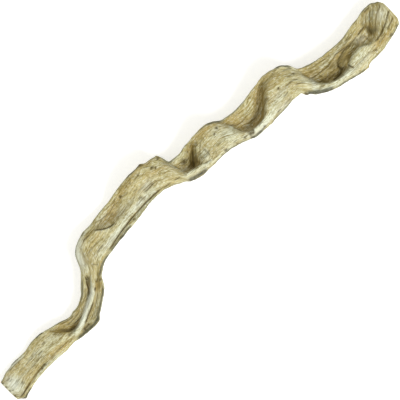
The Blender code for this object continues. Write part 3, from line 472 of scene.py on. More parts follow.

# Bands of each tone along lines, stains as well as painted shade and highlights: half width in mm, strength,
# then points in mm.
BANDS = {
    # Painted shade: dark bands on the steep sides of the edges, where the wood turns down.
    "dark_shade": [
        (1.2, 1.1, [(-292, -14.6), (-286, -17.4), (-280, -16.4), (-272, -13.4)]),
        (1.7, 1.1, [(-204, -11.6), (-196, -13), (-188, -14), (-178, -14.4), (-171, -13.4), (-165, -9.4)]),
        (1.2, 1.1, [(-178, -14.4), (-171, -13.4), (-165, -9.2), (-160, -6.4), (-152, -0.8), (-146, 3.2),
                    (-141, 8), (-138.4, 12.6)]),
        (1.4, 1, [(-138, 16.6), (-132, 20.6), (-125, 24.8), (-118, 27.4), (-108, 28.6)]),
        (1.2, 1, [(-112, 29), (-104, 29.8), (-95, 30.8), (-85, 32.2), (-78, 33), (-71, 33.6)]),
        (0.8, 1, [(-92, 31.6), (-84, 32.6), (-77, 33.2), (-70, 33.8)]),
        (0.9, 0.5, [(-70, 33.8), (-50, 35.4), (-34, 35.8), (-20, 34.6)]),
        (2.4, 1.1, [(4, 24.8), (10, 22.2), (18, 19.8), (25, 18.6), (32, 18)]),
        (1, 0.7, [(34, 16.6), (48, 16.4), (60, 16.2), (74, 12.8), (86, 8)]),
        (1.2, 1.2, [(84, 9.4), (90, 7), (97, 6), (106, 5.6)]),
        (0.8, 0.7, [(112, 4.6), (130, 4.8), (150, 6.2)]),
        (2.3, 1.3, [(160.4, 2.4), (163, -0.2), (167, -3.2), (170, -5.2), (175, -9.4), (180, -12.6),
                    (186, -15.4), (191, -17.4)]),
        (1.1, 0.9, [(189, -17.2), (194, -18.6), (200, -20.4), (210, -23), (222, -25.8), (231, -26.4)]),
        (0.8, 0.5, [(236, -25), (252, -24.6), (266, -22.4)]),
        (1, 0.8, [(268, -21), (276, -20.4), (288, -16.6)]),
        (0.8, 0.9, [(-273, 18), (-267, 18.4), (-260, 18)]),
        (0.9, 1, [(-233, 20.2), (-227, 19.8), (-221, 18.8)]),
        (0.9, 0.6, [(-219, 18.6), (-208, 15.6), (-198, 12.8), (-190, 10.8)]),
        (1.1, 0.5, [(-170, 13.6), (-160, 20.6), (-150, 30)]),
        (1, 0.5, [(-143, 42), (-139, 52), (-130, 60)]),
        (1, 0.7, [(-44, 73), (-34, 73.4), (-22, 73.2), (-17, 71)]),
        (1, 0.35, [(-3, 67), (1, 64), (3.4, 58), (6, 52.6)]),
        (1, 0.35, [(10, 51.6), (24, 52.4), (36, 53.6)]),
        (1.4, 0.9, [(60, 53), (67, 50.6), (72, 47), (77, 44)]),
        (0.9, 0.5, [(80, 43.4), (96, 41.6), (112, 43)]),
        (1, 0.9, [(155, 43.6), (162, 41.8), (167, 37), (171, 30.4)]),
        (1, 0.35, [(176, 24.4), (190, 19.6), (206, 16.8), (230, 14.2), (250, 17)]),
        (1.2, 0.8, [(266, 20.6), (276, 21), (284, 18.6), (289, 13.6)]),
    ],
    # Grey wood, and painted shade along the lower lines of the rim.
    "grey_and_shade": [
        (1.5, 0.8, [(-108, 31), (-95, 32.6), (-82, 34.6), (-70, 35.8)]),
        (1.8, 0.9, [(-72, 35.8), (-56, 37), (-40, 37.4), (-24, 36.6)]),
        (1.5, 0.8, [(-22, 36.2), (-12, 33), (-4, 29), (2, 26)]),
        (1.6, 0.6, [(-272, -11.4), (-258, -9.6), (-244, -9), (-234, -9.4), (-222, -10.4)]),
        (3.2, 1, [(-196, -12), (-184, -11.6), (-172, -8.4), (-160, -2.6), (-150, 4.6), (-142, 11)]),
        (1.2, 0.6, [(128, 5.4), (140, 5.8), (152, 6.4)]),
        (1.4, 0.7, [(-142, 40), (-139, 48), (-133, 56), (-124, 61.4), (-112, 65)]),
        (2.2, 0.8, [(-217, 16), (-211, 9.6), (-206, 4.6)]),
        (1.3, 0.7, [(-192, 10.4), (-184, 10.6), (-176, 11.6)]), (4, 0.7, [(264, 4), (270, 10), (280, 14)]),
    ],
    # Pale wood, and painted highlights along the rims and crests.
    "pale_and_highlight": [
        (1.8, 0.9, [(-272, -11.4), (-258, -9.6), (-244, -9), (-234, -9.4), (-222, -10.4)]),
        (3.2, 1.2, [(-208, -7.8), (-196, -6), (-187, -4), (-180, -1.6), (-172, 2.4), (-166, 6), (-160, 9),
                    (-153, 13), (-147, 18), (-143, 24)]),
        (2.2, 0.8, [(-110, 35), (-92, 38.4), (-74, 41.4), (-56, 43), (-38, 43), (-20, 41.6)]),
        (1.8, 0.6, [(2, 31.4), (12, 28.4), (22, 25.4), (34, 22), (46, 19.6)]),
        (2.2, 1, [(76, 15), (88, 12.4), (100, 10), (114, 9.8), (130, 10.4)]),
        (2.2, 0.8, [(168, 3), (176, -7), (186, -12.4), (198, -16), (212, -18.4)]),
        (1.2, 0.9, [(-97, 64.6), (-88, 63.4), (-80, 63.6), (-70, 66)]),
        (1.6, 0.8, [(-120, 62), (-110, 63.4), (-100, 65)]),
        (1.8, 1, [(-284, 17), (-268, 17.2), (-252, 16.4)]),
        (0.9, 0.6, [(190, 8), (206, 7.6), (222, 8.6), (238, 7.4)]),
        (1, 0.6, [(178, 12), (192, 9.6), (206, 8.4)]),
        (3.6, 0.9, [(8, 40), (11, 35), (15, 32), (20, 30.6)]),
    ],
    # Painted highlight along the narrow ridge.
    "cream_and_highlight": [
        (2.3, 0.75, [(-196, -6.4), (-187, -4.6), (-180, -1.6), (-172, 2.4), (-166, 6), (-160, 9),
                     (-153, 13), (-147, 18)]),
    ],
    # Ochre stains, and painted warm shade in the hollows.
    "ochre_and_warm_shade": [
        (1.8, 1, [(-243, -6.8), (-230, -7.4), (-216, -7.8), (-205, -7.4)]),
        (1.6, 0.8, [(-242, -2), (-226, -3.4), (-212, -5)]),
        (1.2, 0.9, [(-152, 10.6), (-146, 14), (-140, 17.6)]),
        (2.6, 0.8, [(250, -15), (264, -17), (278, -15)]),
        (3.6, 1.2, [(92, 19), (100, 19), (107, 21), (114, 27), (123, 35), (134, 42.4)]),
        (3, 0.7, [(240, 0), (247, -2), (254, -1)]),
    ],
    # Brown stains, and painted shade in hollows and under sharp edges.
    "stain_and_shade": [
        (1.6, 1, [(-284, -12.4), (-276, -10.8), (-268, -9), (-258, -7.6), (-244, -6.8)]),
        (1.3, 0.8, [(97, 15), (104, 14.6), (111, 16), (118, 21.4), (126, 29.4), (136, 39.6)]),
        (2.5, 1, [(19, 29), (23, 35), (28, 41), (34, 46.6), (39, 50)]),
        (3, 0.65, [(190, -4), (198, -6), (206, -8.4)]),
        (3, 0.75, [(210, -4), (217, -1.6), (226, 1), (234, 1)]),
        (1.8, 0.9, [(212, -7.4), (219, -5.4), (227, -2.4)]),
        (0.8, 0.8, [(-159, 12), (-154, 17), (-150, 22.4)]),
        (2.4, 1, [(-212, 13), (-207, 7.6), (-203, 3.6), (-198.6, 0.4), (-190, 0.2)]),
        (1.5, 0.6, [(-159, 17), (-155, 21)]), (3.8, 1.1, [(264, 10), (262, 3), (261, -2), (258, -8)]),
    ],
}

# Steps and corners of the two edges: x, reach along and the edge's move in y, in mm.
RIGHT_STEPS = [
    (-286, 3, -1.2), (-219, 7, -1.1), (-174, 6, -1.0), (-168, 3, -0.7), (-146, 4, -0.8), (-138, 4, -2.9),
    (-129, 6, -1.9), (-120, 5, -0.5), (-105, 7, -0.5), (-48, 7, -0.8), (2.5, 3, 1.0), (20, 4, -0.3),
    (50, 12, 0.4), (114, 3, -0.7), (154, 6, -1.2), (165.6, 2.6, 2.4), (174, 5, 0.7), (226, 8, -0.8),
    (233, 3, -0.5), (243, 6, -0.9), (256, 6, -1.7), (267, 7, -1.5), (279, 8, -1.6), (289, 3, -2),
]
LEFT_STEPS = [
    (-288, 5, -1.2), (-276, 4, -0.8), (-227, 6, 0.6), (-183, 2.4, 0.9), (-163.6, 3, -1.1), (-73, 6, -0.6),
    (-47, 7, -0.5), (-27, 5, -0.5), (-17, 2.2, 1.7), (1.6, 2.6, 2.6), (22, 6, -1.3), (36, 6, -1.1),
    (48, 6, -0.5), (73.4, 3, 1.0), (98, 8, -0.5), (118, 5, -0.8), (130, 8, -1.0), (156, 3, -0.8),
    (170.6, 1.8, 1.4), (204, 3, -0.6), (258, 6, -0.8), (285, 3, -1.6),
]

# Pits and knots: x, y, radius, depth in mm, darkness.
PITS = [
    (-276.3, -4, 1.4, 0.4, 0.8), (-240, 0.2, 1.1, 0.3, 0.6), (-187, -10.6, 2.4, 0.9, 1.0),
    (-184, -10.3, 1.6, 0.6, 1.0), (-181.4, -10.2, 1.9, 0.7, 1.0), (-203.5, -3.2, 1.4, 0.4, 0.8),
    (-58.5, 63.2, 1.7, 0.6, 1.0), (-44, 47.2, 1.7, 0.4, 0.8), (-41, 66.4, 1.2, 0.4, 0.8),
    (-28.6, 66.6, 1.2, 0.5, 1.0), (-12.2, 61.4, 1.9, 0.7, 1.0), (-9.6, 58.4, 1.4, 0.5, 1.0),
    (-20, 72.6, 1.9, 0.4, 0.9), (17.4, 41.4, 3.4, 0.8, 1.0), (14.6, 42.4, 1.9, 0.5, 0.8),
    (20.6, 41, 1.9, 0.5, 0.9), (67.4, 42.4, 1.6, 0.9, 1.0), (61, 39.4, 1.1, 0.4, 0.9),
    (58.5, 18.2, 1.6, 0.4, 1.0), (81.5, 13.4, 1.3, 0.4, 1.0), (84, 13.6, 1.1, 0.4, 0.9),
    (89.6, 11.6, 2.4, 0.7, 1.0), (92, 11, 1.9, 0.5, 1.0), (93.6, 12.4, 1.4, 0.4, 1.0),
    (105.6, 6.6, 1.3, 0.5, 1.0), (144.6, 25.6, 1.3, 0.5, 1.0), (167, 25, 1.3, 0.5, 0.9),
    (179, -6, 1.6, 0.4, 0.7), (209, -7.6, 2.4, 0.8, 0.9), (249.6, -19.6, 1.4, 0.4, 0.9),
    (273, -19.6, 1.8, 0.6, 0.9), (-0.6, 64, 1.7, 0.4, 0.9), (39, 44, 1.3, 0.3, 0.7),
    (27, 46.5, 1.3, 0.4, 0.7), (-246, -7, 1.7, 0.4, 0.9), (-250, -7.6, 1.6, 0.4, 0.9),
    (161.6, 0, 1.9, 0.4, 1.0), (-137, 15.6, 1.7, 0.4, 0.9),
]

# Patches of each tone, stains as well as painted shade and highlights: x, y, reach along and across in mm,
# turn in degrees, strength.
PATCHES = {
    # Brown stains, and painted shade in shaded places.
    "stain_and_shade": [
        (-118, 56, 8, 3, 0, 0.4), (146, 44, 9, 3, -5, 0.5), (54, 50, 12, 4, 0, 0.4),
        (-201, 9, 6, 3, -35, 0.6), (-222, -6, 16, 2.4, 0, 0.5), (-213, -8, 8, 2, 0, 0.4),
        (93, 29, 7, 4, 0, 0.5), (130, 30, 12, 3.4, 48, 0.5), (-209, 8, 9, 3.4, -55, 0.5),
        (-79, 56, 3, 7, 0, 0.5), (-5, 40, 6, 5, 0, 0.6), (56, 52, 12, 3, 0, 0.35),
        (141, 36, 12, 6, 35, 0.6), (251, 6, 8, 3, 0, 0.5), (-155, 4, 7, 2.6, 35, 0.6),
        (-142, 14, 6, 4, 45, 0.8), (204, 1.4, 7, 4, 0, 0.9), (212, -5, 9, 4, 30, 0.8),
        (262, -18.6, 12, 4, 5, 0.9), (260, 15, 6, 4, 0, 0.4), (284, -9, 8, 6, 0, 0.8),
        (272, 16.4, 8, 3.4, 0, 0.8), (265, -3, 4, 5, 0, 0.6), (20, 35, 8, 6, 50, 0.1),
        (194, 0, 14, 5, -8, 0.25), (-135, 42, 8, 5, 60, 0.4), (14, 41, 7, 6, 0, 0.2),
        (186, 12, 12, 5, -12, 0.7), (242, 8, 6, 3, 0, 0.4), (-108, 57, 12, 4, 0, 0.3),
        (-126, 50, 6, 8, 0, 0.35), (-146, 11, 5, 3, 42, 0.6),
    ],
    # Ochre stains, and painted warm shade in the hollows.
    "ochre_and_warm_shade": [
        (262, -16.5, 12, 4, 4, 0.7), (-84, 56, 15, 6, 0, 0.9), (94, 20, 14, 6, 0, 0.6),
        (12, 34, 7, 5, 0, 0.7), (50, 50, 18, 4, 0, 0.6), (-60, 66, 24, 4, 6, 0.4),
        (-268, 10, 10, 5, 0, 0.4), (182, 14, 8, 6, 0, 0.4), (-35, 66, 16, 4, 0, 0.4),
        (155, 38, 10, 4, -10, 0.3), (-132, 40, 5, 6, 0, 0.3), (90, 19, 6, 6, 0, 0.5),
    ],
    # Pale wood, and painted light that brightens shaded places.
    "pale_and_highlight": [
        (-88, 56, 12, 6, 0, 0.95), (92, 18, 5, 4, 0, 0.85), (222, -18, 24, 5, -3, 0.55),
        (140, 20, 12, 6, 0, 0.4), (-244, 8, 12, 3, 0, 0.5), (-73, 52, 8, 4, 0, 0.7),
        (-94, 59, 6, 3, 0, 1.0), (62, 40, 8, 5, 0, 0.6), (177, 3, 3, 7, -20, 0.8),
        (224, 9.4, 13, 2.5, 0, 0.6), (-58, 52, 12, 4, 0, 0.4), (204, -14.6, 16, 3, -20, 0.5),
        (94, 21, 14, 5, 0, 0.35), (-284, -1, 10, 10, 0, 1.3), (-98, 38, 40, 5, 4, 0.6),
        (-40, 44, 30, 5, 0, 0.5), (72, 27, 12, 7, -50, 0.8), (126, 13, 20, 5, 12, 0.6),
        (60, 18, 22, 3, -6, 0.6), (171, 8, 18, 4, -62, 0.4), (232, -14, 16, 7, 0, 0.5),
        (283, 2, 8, 5, 30, 0.4), (247, -0.6, 9, 5, 0, 0.8), (-242, 4, 30, 7, 0, 0.45),
        (-137, 48, 6, 13, -20, 1.2), (-127, 59, 10, 4, 25, 1.0), (38, 31, 8, 6, 40, 1.1),
        (80, 32, 3, 5, -30, 0.6), (-88, 48, 6, 2.6, 0, 0.5), (-148, 24, 3, 3, 0, 0.5),
        (-94, 61, 6, 2, 0, 0.5), (112, 25, 12, 4, 45, 0.5), (8, 48, 5, 5, 0, 0.3),
        (-220, 8, 10, 6, -30, 0.4), (15, 49, 8, 3, 0, 0.3), (62, 34, 10, 8, 0, 0.3),
    ],
    # Painted highlights that brighten crests and shaded places.
    "cream_and_highlight": [
        (-284, 2, 7, 10, 0, 0.75), (-270, 16.8, 12, 1.5, 0, 0.5), (-98, 37, 16, 2.5, 8, 0.5),
        (-50, 44, 14, 3, 0, 0.35), (92, 18, 4, 4, 0, 0.2), (177, 3, 3, 7, -20, 0.4),
        (246, 0, 7, 4, -10, 0.4), (-137, 48, 5, 12, -20, 0.6), (-127, 59, 9, 3, 25, 0.5),
        (222, -18, 24, 3, -3, 0.15), (-31, 52, 10, 4, 0, 0.4), (104, 8.6, 20, 3, 0, 0.6),
        (136, 8, 10, 3, 0, 0.45), (281, 4, 8, 5, 35, 0.4), (140, 20, 10, 5, 0, 0.15),
    ],
    # Painted shade: dark spots where shade falls.
    "dark_shade": [
        (29, 41, 7, 2, 52, 0.35), (-201, 1, 5, 2.5, -40, 0.35), (214, -5, 10, 4.4, 25, 0.5),
        (260, 0, 4, 9, 0, 0.45), (265, -4, 5, 5, 0, 0.65), (205, 1, 6, 4, 0, 0.5),
        (-142, 12, 4, 3, 45, 0.35),
    ],
    # Grey wood, and painted shade that dims some faces.
    "grey_and_shade": [
        (-291, 2, 3, 13, 0, 0.4), (274, 4, 15, 12, 30, 0.6), (-184, -12, 14, 4, 10, 0.5),
        (150, 22, 22, 14, 0, 0.3), (228, -12, 20, 8, 0, 0.3), (158, 8, 6, 3, 0, 0.4),
        (188, -15.6, 6, 2, -25, 0.5), (-144, 44, 3, 10, -20, 0.3), (-66, 34.6, 9, 1.6, 6, 0.9),
    ],
}

# Where the fibres start to fan out towards the last end, and their slopes there by where they start in y.
FAN_START = 258.0
FAN_SLOPES = [(-30, 0.0), (-16, 0.05), (-13, 0.3), (-8, 0.6), (0, 0.72), (10, 0.66), (30, 0.5)]
# How softly the fan sets in, in mm, and how far back and in how many rounds a fibre's start is looked for.
FAN_EASE = 12
FAN_SOFTNESS = 16
FAN_BACK = 30.0
FAN_ROUNDS = 24

# Cells of the repeating noise table, and the shift of its start along both of its sides.
NOISE_CELLS = 128
NOISE_SHIFT = (1000.37, 1000.61)

# Steps along a line in mm, and how fast its marks fade in from both of its ends.
PATH_STEP = 1.5
PATH_FADE = 5
PATCH_FALL = 1.2

# Layers of the relief: length and width of its cells in mm, height in mm and number of the seed.
RELIEF = [(45, 5.0, 0.4, 0), (20, 2.4, 0.34, 1), (9, 1.3, 0.2, 2), (8, 7, 0.2, 3), (3.2, 2.6, 0.14, 6)]
# Short cracks in that relief and the zones that hold them: cells in mm, first value and full value of the
# noise that count, and number of the seed.
SHORT_CRACKS = [(12, 1.1, 0.55, 0.85, 4), (34, 11, -0.2, 0.3, 5)]
SHORT_CRACK_DEPTH = 0.25
SHORT_CRACK_DARKNESS = 0.5
UPPER_SEED = 11
LOWER_SEED = 61
LOWER_RELIEF = 0.8

# Undercut edges: half the width of the step, and share and reach of the low lip beside it, in mm.
STEP_HALF_WIDTH = 0.35
LIP_SHARE = 0.3
LIP_REACH = 2.0
DRAW_STEEPNESS = 0.85
# Painted shade and highlight at those edges: half width of the painted shade's rim, reach of the painted
# highlight on the crest, and how much pale the painted shade takes away.
SHADE_HALF_WIDTH = 0.3
HIGHLIGHT_REACH = 1.3
SHADE_OVER_PALE = 0.7

EDGE_STEP_REACH = 5.0
CRACK_SPREAD = 1.1
# Ragged outline of the pits: shift in mm, cells in mm and seed, along and across. Then how long they are
# for their width, and how sharply they end.
PIT_ROUGHNESS = [(0.9, 1.9, 1.7, 95), (0.7, 1.7, 1.9, 96)]
PIT_LENGTH = 1.25
PIT_FALL = 1.2

# Square grid of heights under which the lower face is laid: its step, margin and sides, in mm.
MAP_STEP = 1.0
MAP_MARGIN = 10.0
MAP_SIDES = (-40.0, 86.0)
# Hollows: reach of the averaging and the depth that counts as a full hollow, in mm. Then tone, sign and share
# of the painted shade laid in the hollows (brown, warm ochre) and of the painted highlight on the crests
# (pale).
HOLLOW_REACH = 7
HOLLOW_DEPTH = 6.0
HOLLOW_TONES = [("stain_and_shade", 1, 0.1), ("ochre_and_warm_shade", 1, 0.6), ("pale_and_highlight", -1, 0.3)]

# Chips along the two edges: height in mm, then share, length of the cells in mm and seed of two noises.
CHIP_REACH = 3
RIGHT_CHIPS = (0.55, [(0.5, 2.6, 91), (0.5, 7, 92)])
LEFT_CHIPS = (0.45, [(0.4, 2.4, 93), (0.5, 8, 94)])
NOISE_STRIP = 9

# Least thickness of the wood in mm, and share of the thickness that the two faces always keep.
LEAST_THICKNESS = 1.2
KEPT_THICKNESS = 0.8
# How much steep walls count in the spacing of the grid and of the fibres.
WALL_SPACING = 0.5
WALL_FIBRES = 0.7

# Tones of the upper face: stains and pale wood, with painted shade and painted highlights among them.
TONES = ("stain_and_shade", "ochre_and_warm_shade", "pale_and_highlight", "cream_and_highlight", "grey_and_shade", "dark_shade")
# Even tones of the lower face, which make it darker and greyer than the upper one.
LOWER_TONES = {"stain_and_shade": 0.25, "ochre_and_warm_shade": 0.1, "pale_and_highlight": 0.0, "cream_and_highlight": 0.0, "grey_and_shade": 0.3, "dark_shade": 0.1, "cracks_and_shade": 0.6}


def lattice_noise(a, b, size_a, size_b, seed):
    """Smooth noise from -1 to 1 with the given cell sizes."""
    table = np.random.RandomState(seed).uniform(-1, 1, (NOISE_CELLS, NOISE_CELLS))
    fa, fb = a / size_a + NOISE_SHIFT[0], b / size_b + NOISE_SHIFT[1]
    ia, ib = np.floor(fa).astype(int), np.floor(fb).astype(int)
    ta, tb = ease(fa - ia), ease(fb - ib)
    ja, jb = (ia + 1) % NOISE_CELLS, (ib + 1) % NOISE_CELLS
    ia, ib = ia % NOISE_CELLS, ib % NOISE_CELLS
    return ((1 - ta) * (1 - tb) * table[ia, ib] + ta * (1 - tb) * table[ja, ib]
            + (1 - ta) * tb * table[ia, jb] + ta * tb * table[ja, jb])


def strip_noise(x, length, seed):
    """Noise that changes only along the stem."""
    return lattice_noise(x, 0 * x, length, NOISE_STRIP, seed)


def line_gap(x, y, points, reach):
    """Places near a line: which they are, how far from it (less than 0 on its right), the fade towards
    the line's ends and the step to its nearest point."""
    path = evenly_along(points, PATH_STEP)
    near = ((x > path[:, 0].min() - reach) & (x < path[:, 0].max() + reach)
            & (y > path[:, 1].min() - reach) & (y < path[:, 1].max() + reach))
    px, py = x[near], y[near]
    nearest = np.full(px.shape, np.inf)
    side, place, to_x, to_y = (np.zeros(px.shape) for _ in range(4))
    for k in range(len(path) - 1):
        start, step = path[k], path[k + 1] - path[k]
        out_x, out_y = px - start[0], py - start[1]
        t = np.clip((out_x * step[0] + out_y * step[1]) / (step @ step), 0, 1)
        gap_x, gap_y = t * step[0] - out_x, t * step[1] - out_y
        gap = gap_x ** 2 + gap_y ** 2
        closer = gap < nearest
        nearest = np.where(closer, gap, nearest)
        side = np.where(closer, np.sign(step[0] * out_y - step[1] * out_x), side)
        place = np.where(closer, (k + t) / (len(path) - 1), place)
        to_x = np.where(closer, gap_x, to_x)
        to_y = np.where(closer, gap_y, to_y)
    fade = ease(np.minimum(place, 1 - place) * PATH_FADE)
    return near, side * np.sqrt(nearest), fade, (to_x, to_y)


def patch(x, y, spot):
    spot_x, spot_y, reach, width, turn, strength = spot
    c, s = math.cos(math.radians(turn)), math.sin(math.radians(turn))
    along = ((x - spot_x) * c + (y - spot_y) * s) / reach
    sideways = (-(x - spot_x) * s + (y - spot_y) * c) / width
    return strength * np.exp(-PATCH_FALL * (along ** 2 + sideways ** 2))


def blurred(field, reach):
    """The field averaged over a square, done once more for a softer edge."""
    for _ in range(2):
        for axis in (0, 1):
            pad = [(reach + 1, reach) if k == axis else (0, 0) for k in (0, 1)]
            total = np.cumsum(np.pad(field, pad, mode="edge"), axis=axis)
            size = 2 * reach + 1
            upper = np.take(total, range(size, total.shape[axis]), axis=axis)
            lower = np.take(total, range(0, total.shape[axis] - size), axis=axis)
            field = (upper - lower) / size
    return field


def fibre_place(x, y, girth, wide):
    """Distances along and across the fibres, which fan out towards the last end."""
    run = 0.5 * (x - FAN_START + np.sqrt((x - FAN_START) ** 2 + FAN_SOFTNESS))
    low, high = y - FAN_BACK, y + 1.0
    for _ in range(FAN_ROUNDS):
        start = 0.5 * (low + high)
        above = start + np.interp(start, *zip(*FAN_SLOPES)) * run > y
        high = np.where(above, start, high)
        low = np.where(above, low, start)
    rise = ease((x - FAN_START + FAN_EASE) / FAN_EASE) * (y - start)
    return x, USUAL_WIDTH * (girth - rise / wide)


def wood_relief(along, sideways, seed):
    """Ridges, fibres and short cracks of weathered wood, in mm, and how dark the cracks are."""
    cracks = 1.0
    for length, width, low, high, number in SHORT_CRACKS:
        field = lattice_noise(along, sideways, length, width, seed + number)
        cracks = cracks * ease((field - low) / (high - low))
    height = sum(size * lattice_noise(along, sideways, length, width, seed + number)
                 for length, width, size, number in RELIEF)
    return height - SHORT_CRACK_DEPTH * cracks, cracks


def edge_moves(x, gap, steps):
    """How far the steps of one edge move the wood near it."""
    along = sum(move * np.exp(-((x - step_x) / reach) ** 2) for step_x, reach, move in steps)
    return along * np.exp(-(gap / EDGE_STEP_REACH) ** 2)


def chip_moves(x, gap, chips):
    """How far the small chips of one edge move the wood near it."""
    height, noises = chips
    along = sum(share * strip_noise(x, length, seed) for share, length, seed in noises)
    return height * along * np.exp(-(gap / CHIP_REACH) ** 2)


def undercut(x, y, top):
    """The upper face with its sharp edges: lower wood dropped and drawn in under each of them."""
    for drop, reach, draw, _, _, points in BRINKS:
        near, gap, fade, toward = line_gap(x, y, points, 4 * max(reach, draw))
        below = ease((STEP_HALF_WIDTH - gap) / (2 * STEP_HALF_WIDTH))
        lip = LIP_SHARE * np.exp(-np.maximum(gap, 0) / LIP_REACH) * (1 - below)
        top[near] -= fade * drop * (np.exp(np.minimum(gap, 0) / reach) * below - lip)
        away = np.maximum(-gap, 1e-6)
        move = fade * draw * np.tanh(DRAW_STEEPNESS * away / draw) * np.exp(-(away / (4 * draw)) ** 2) / away
        move = np.where(gap < 0, move, 0.0)
        x[near] += toward[0] * move
        y[near] += toward[1] * move


def marked(x, y, top, tones):
    """Cracks and pits cut into the upper face, and its tones: stains and pale wood, painted shade and painted
    highlights.
    """
    # Under each sharp edge, painted shade; on its crest, a painted highlight.
    for _, reach, _, shade, highlight, points in BRINKS:
        near, gap, fade, _ = line_gap(x, y, points, 4 * reach)
        below = np.exp(np.minimum(gap, 0) / reach) * ease((SHADE_HALF_WIDTH - gap) / (2 * SHADE_HALF_WIDTH))
        crest = np.exp(-(gap / HIGHLIGHT_REACH) ** 2) * (gap > 0)
        pale_and_highlight = tones["pale_and_highlight"][near] * (1 - SHADE_OVER_PALE * fade * below)
        tones["pale_and_highlight"][near] = pale_and_highlight + fade * highlight * crest
        tones["stain_and_shade"][near] += fade * shade * below
    # Cracks darken the face; the broad ones paint the shade in slits and creases.
    for half_width, depth, darkness, lines in CRACKS:
        for points in lines:
            near, gap, fade, _ = line_gap(x, y, points, 3 * half_width)
            spread = CRACK_SPREAD * half_width * (0.5 + 0.5 * fade)
            mark = (0.3 + 0.7 * fade) * np.exp(-(gap / spread) ** 2)
            top[near] -= depth * mark
            tones["cracks_and_shade"][near] = np.maximum(tones["cracks_and_shade"][near], darkness * mark)
    rough_x, rough_y = (side + shift * lattice_noise(x, y, length, width, seed)
                        for side, (shift, length, width, seed) in zip((x, y), PIT_ROUGHNESS))
    for pit_x, pit_y, radius, depth, darkness in PITS:
        gap = (((rough_x - pit_x) / PIT_LENGTH) ** 2 + (rough_y - pit_y) ** 2) / radius ** 2
        mark = np.exp(-gap ** PIT_FALL)
        top -= depth * mark
        tones["cracks_and_shade"] = np.maximum(tones["cracks_and_shade"], darkness * mark)
    for name in TONES:
        for half_width, strength, points in BANDS[name]:
            near, gap, fade, _ = line_gap(x, y, points, 2.5 * half_width)
            tones[name][near] += strength * fade * np.exp(-(gap / half_width) ** 2)
        tones[name] += sum(patch(x, y, spot) for spot in PATCHES[name])


def girth_along(steps):
    """Running sum of the steps across the stem, from the right edge."""
    return np.concatenate([np.zeros((len(steps), 1)), np.cumsum(steps, axis=1)], axis=1)


def spread_widths(skin, lengths):
    """Fractions across the width for each length, closer together on steep walls."""
    trial = edge_samples(USUAL_WIDTH, TRIAL_WIDTH_STEPS)
    x, y, wide = plan(lengths, trial)
    rise = np.abs(np.diff(skin(x, y), axis=1))
    girth = girth_along(blurred(np.diff(trial) * wide[:, :1] + WALL_SPACING * rise, 2))
    plain = edge_samples(USUAL_WIDTH, FINE_WIDTH_STEPS)
    turns = len(EDGE_TURN)
    across = np.empty((len(x), len(plain)))
    for k in range(len(x)):
        start = np.interp(plain[turns - 1], trial, girth[k])
        stop = np.interp(plain[-turns], trial, girth[k])
        places = np.linspace(start, stop, len(plain) - 2 * turns + 2)
        across[k] = np.concatenate([plain[:turns - 1], np.interp(places, girth[k], trial), plain[1 - turns:]])
    return across


def heights_around(skin):
    """Heights of the upper face on a square grid that is a little wider than the stem."""
    first, last = RIGHT_EDGE[0][0], RIGHT_EDGE[-1][0]
    grid_x = np.arange(first - MAP_MARGIN, last + MAP_MARGIN + MAP_STEP, MAP_STEP)
    grid_y = np.arange(*MAP_SIDES, MAP_STEP)
    return grid_x, grid_y, skin(*np.meshgrid(grid_x, grid_y, indexing="ij"))


def hollows(x, y, height_map):
    """How deep each place lies in a hollow, up to 1, and less than 0 on a crest."""
    grid_x, grid_y, heights = height_map
    cavity = blurred(heights, HOLLOW_REACH) - heights
    cells = [np.clip(((side - grid[0]) / MAP_STEP).astype(int), 0, len(grid) - 1)
             for side, grid in ((x, grid_x), (y, grid_y))]
    return np.clip(cavity[cells[0], cells[1]] / HOLLOW_DEPTH, -1, 1)


def rounded(top, low, from_right, from_left):
    """Both faces drawn together towards the two edges, in a quarter of a circle."""
    nearest = np.clip(np.minimum(from_right / RIM_ROUND, from_left / LEFT_ROUND), 0, 1)
    close = 1 - np.sqrt(1 - (1 - nearest) ** 2)
    middle = 0.5 * (top + low)
    half = 0.5 * (top - low) * (1 - close)
    return middle + half, np.maximum(middle - half, 0.0)


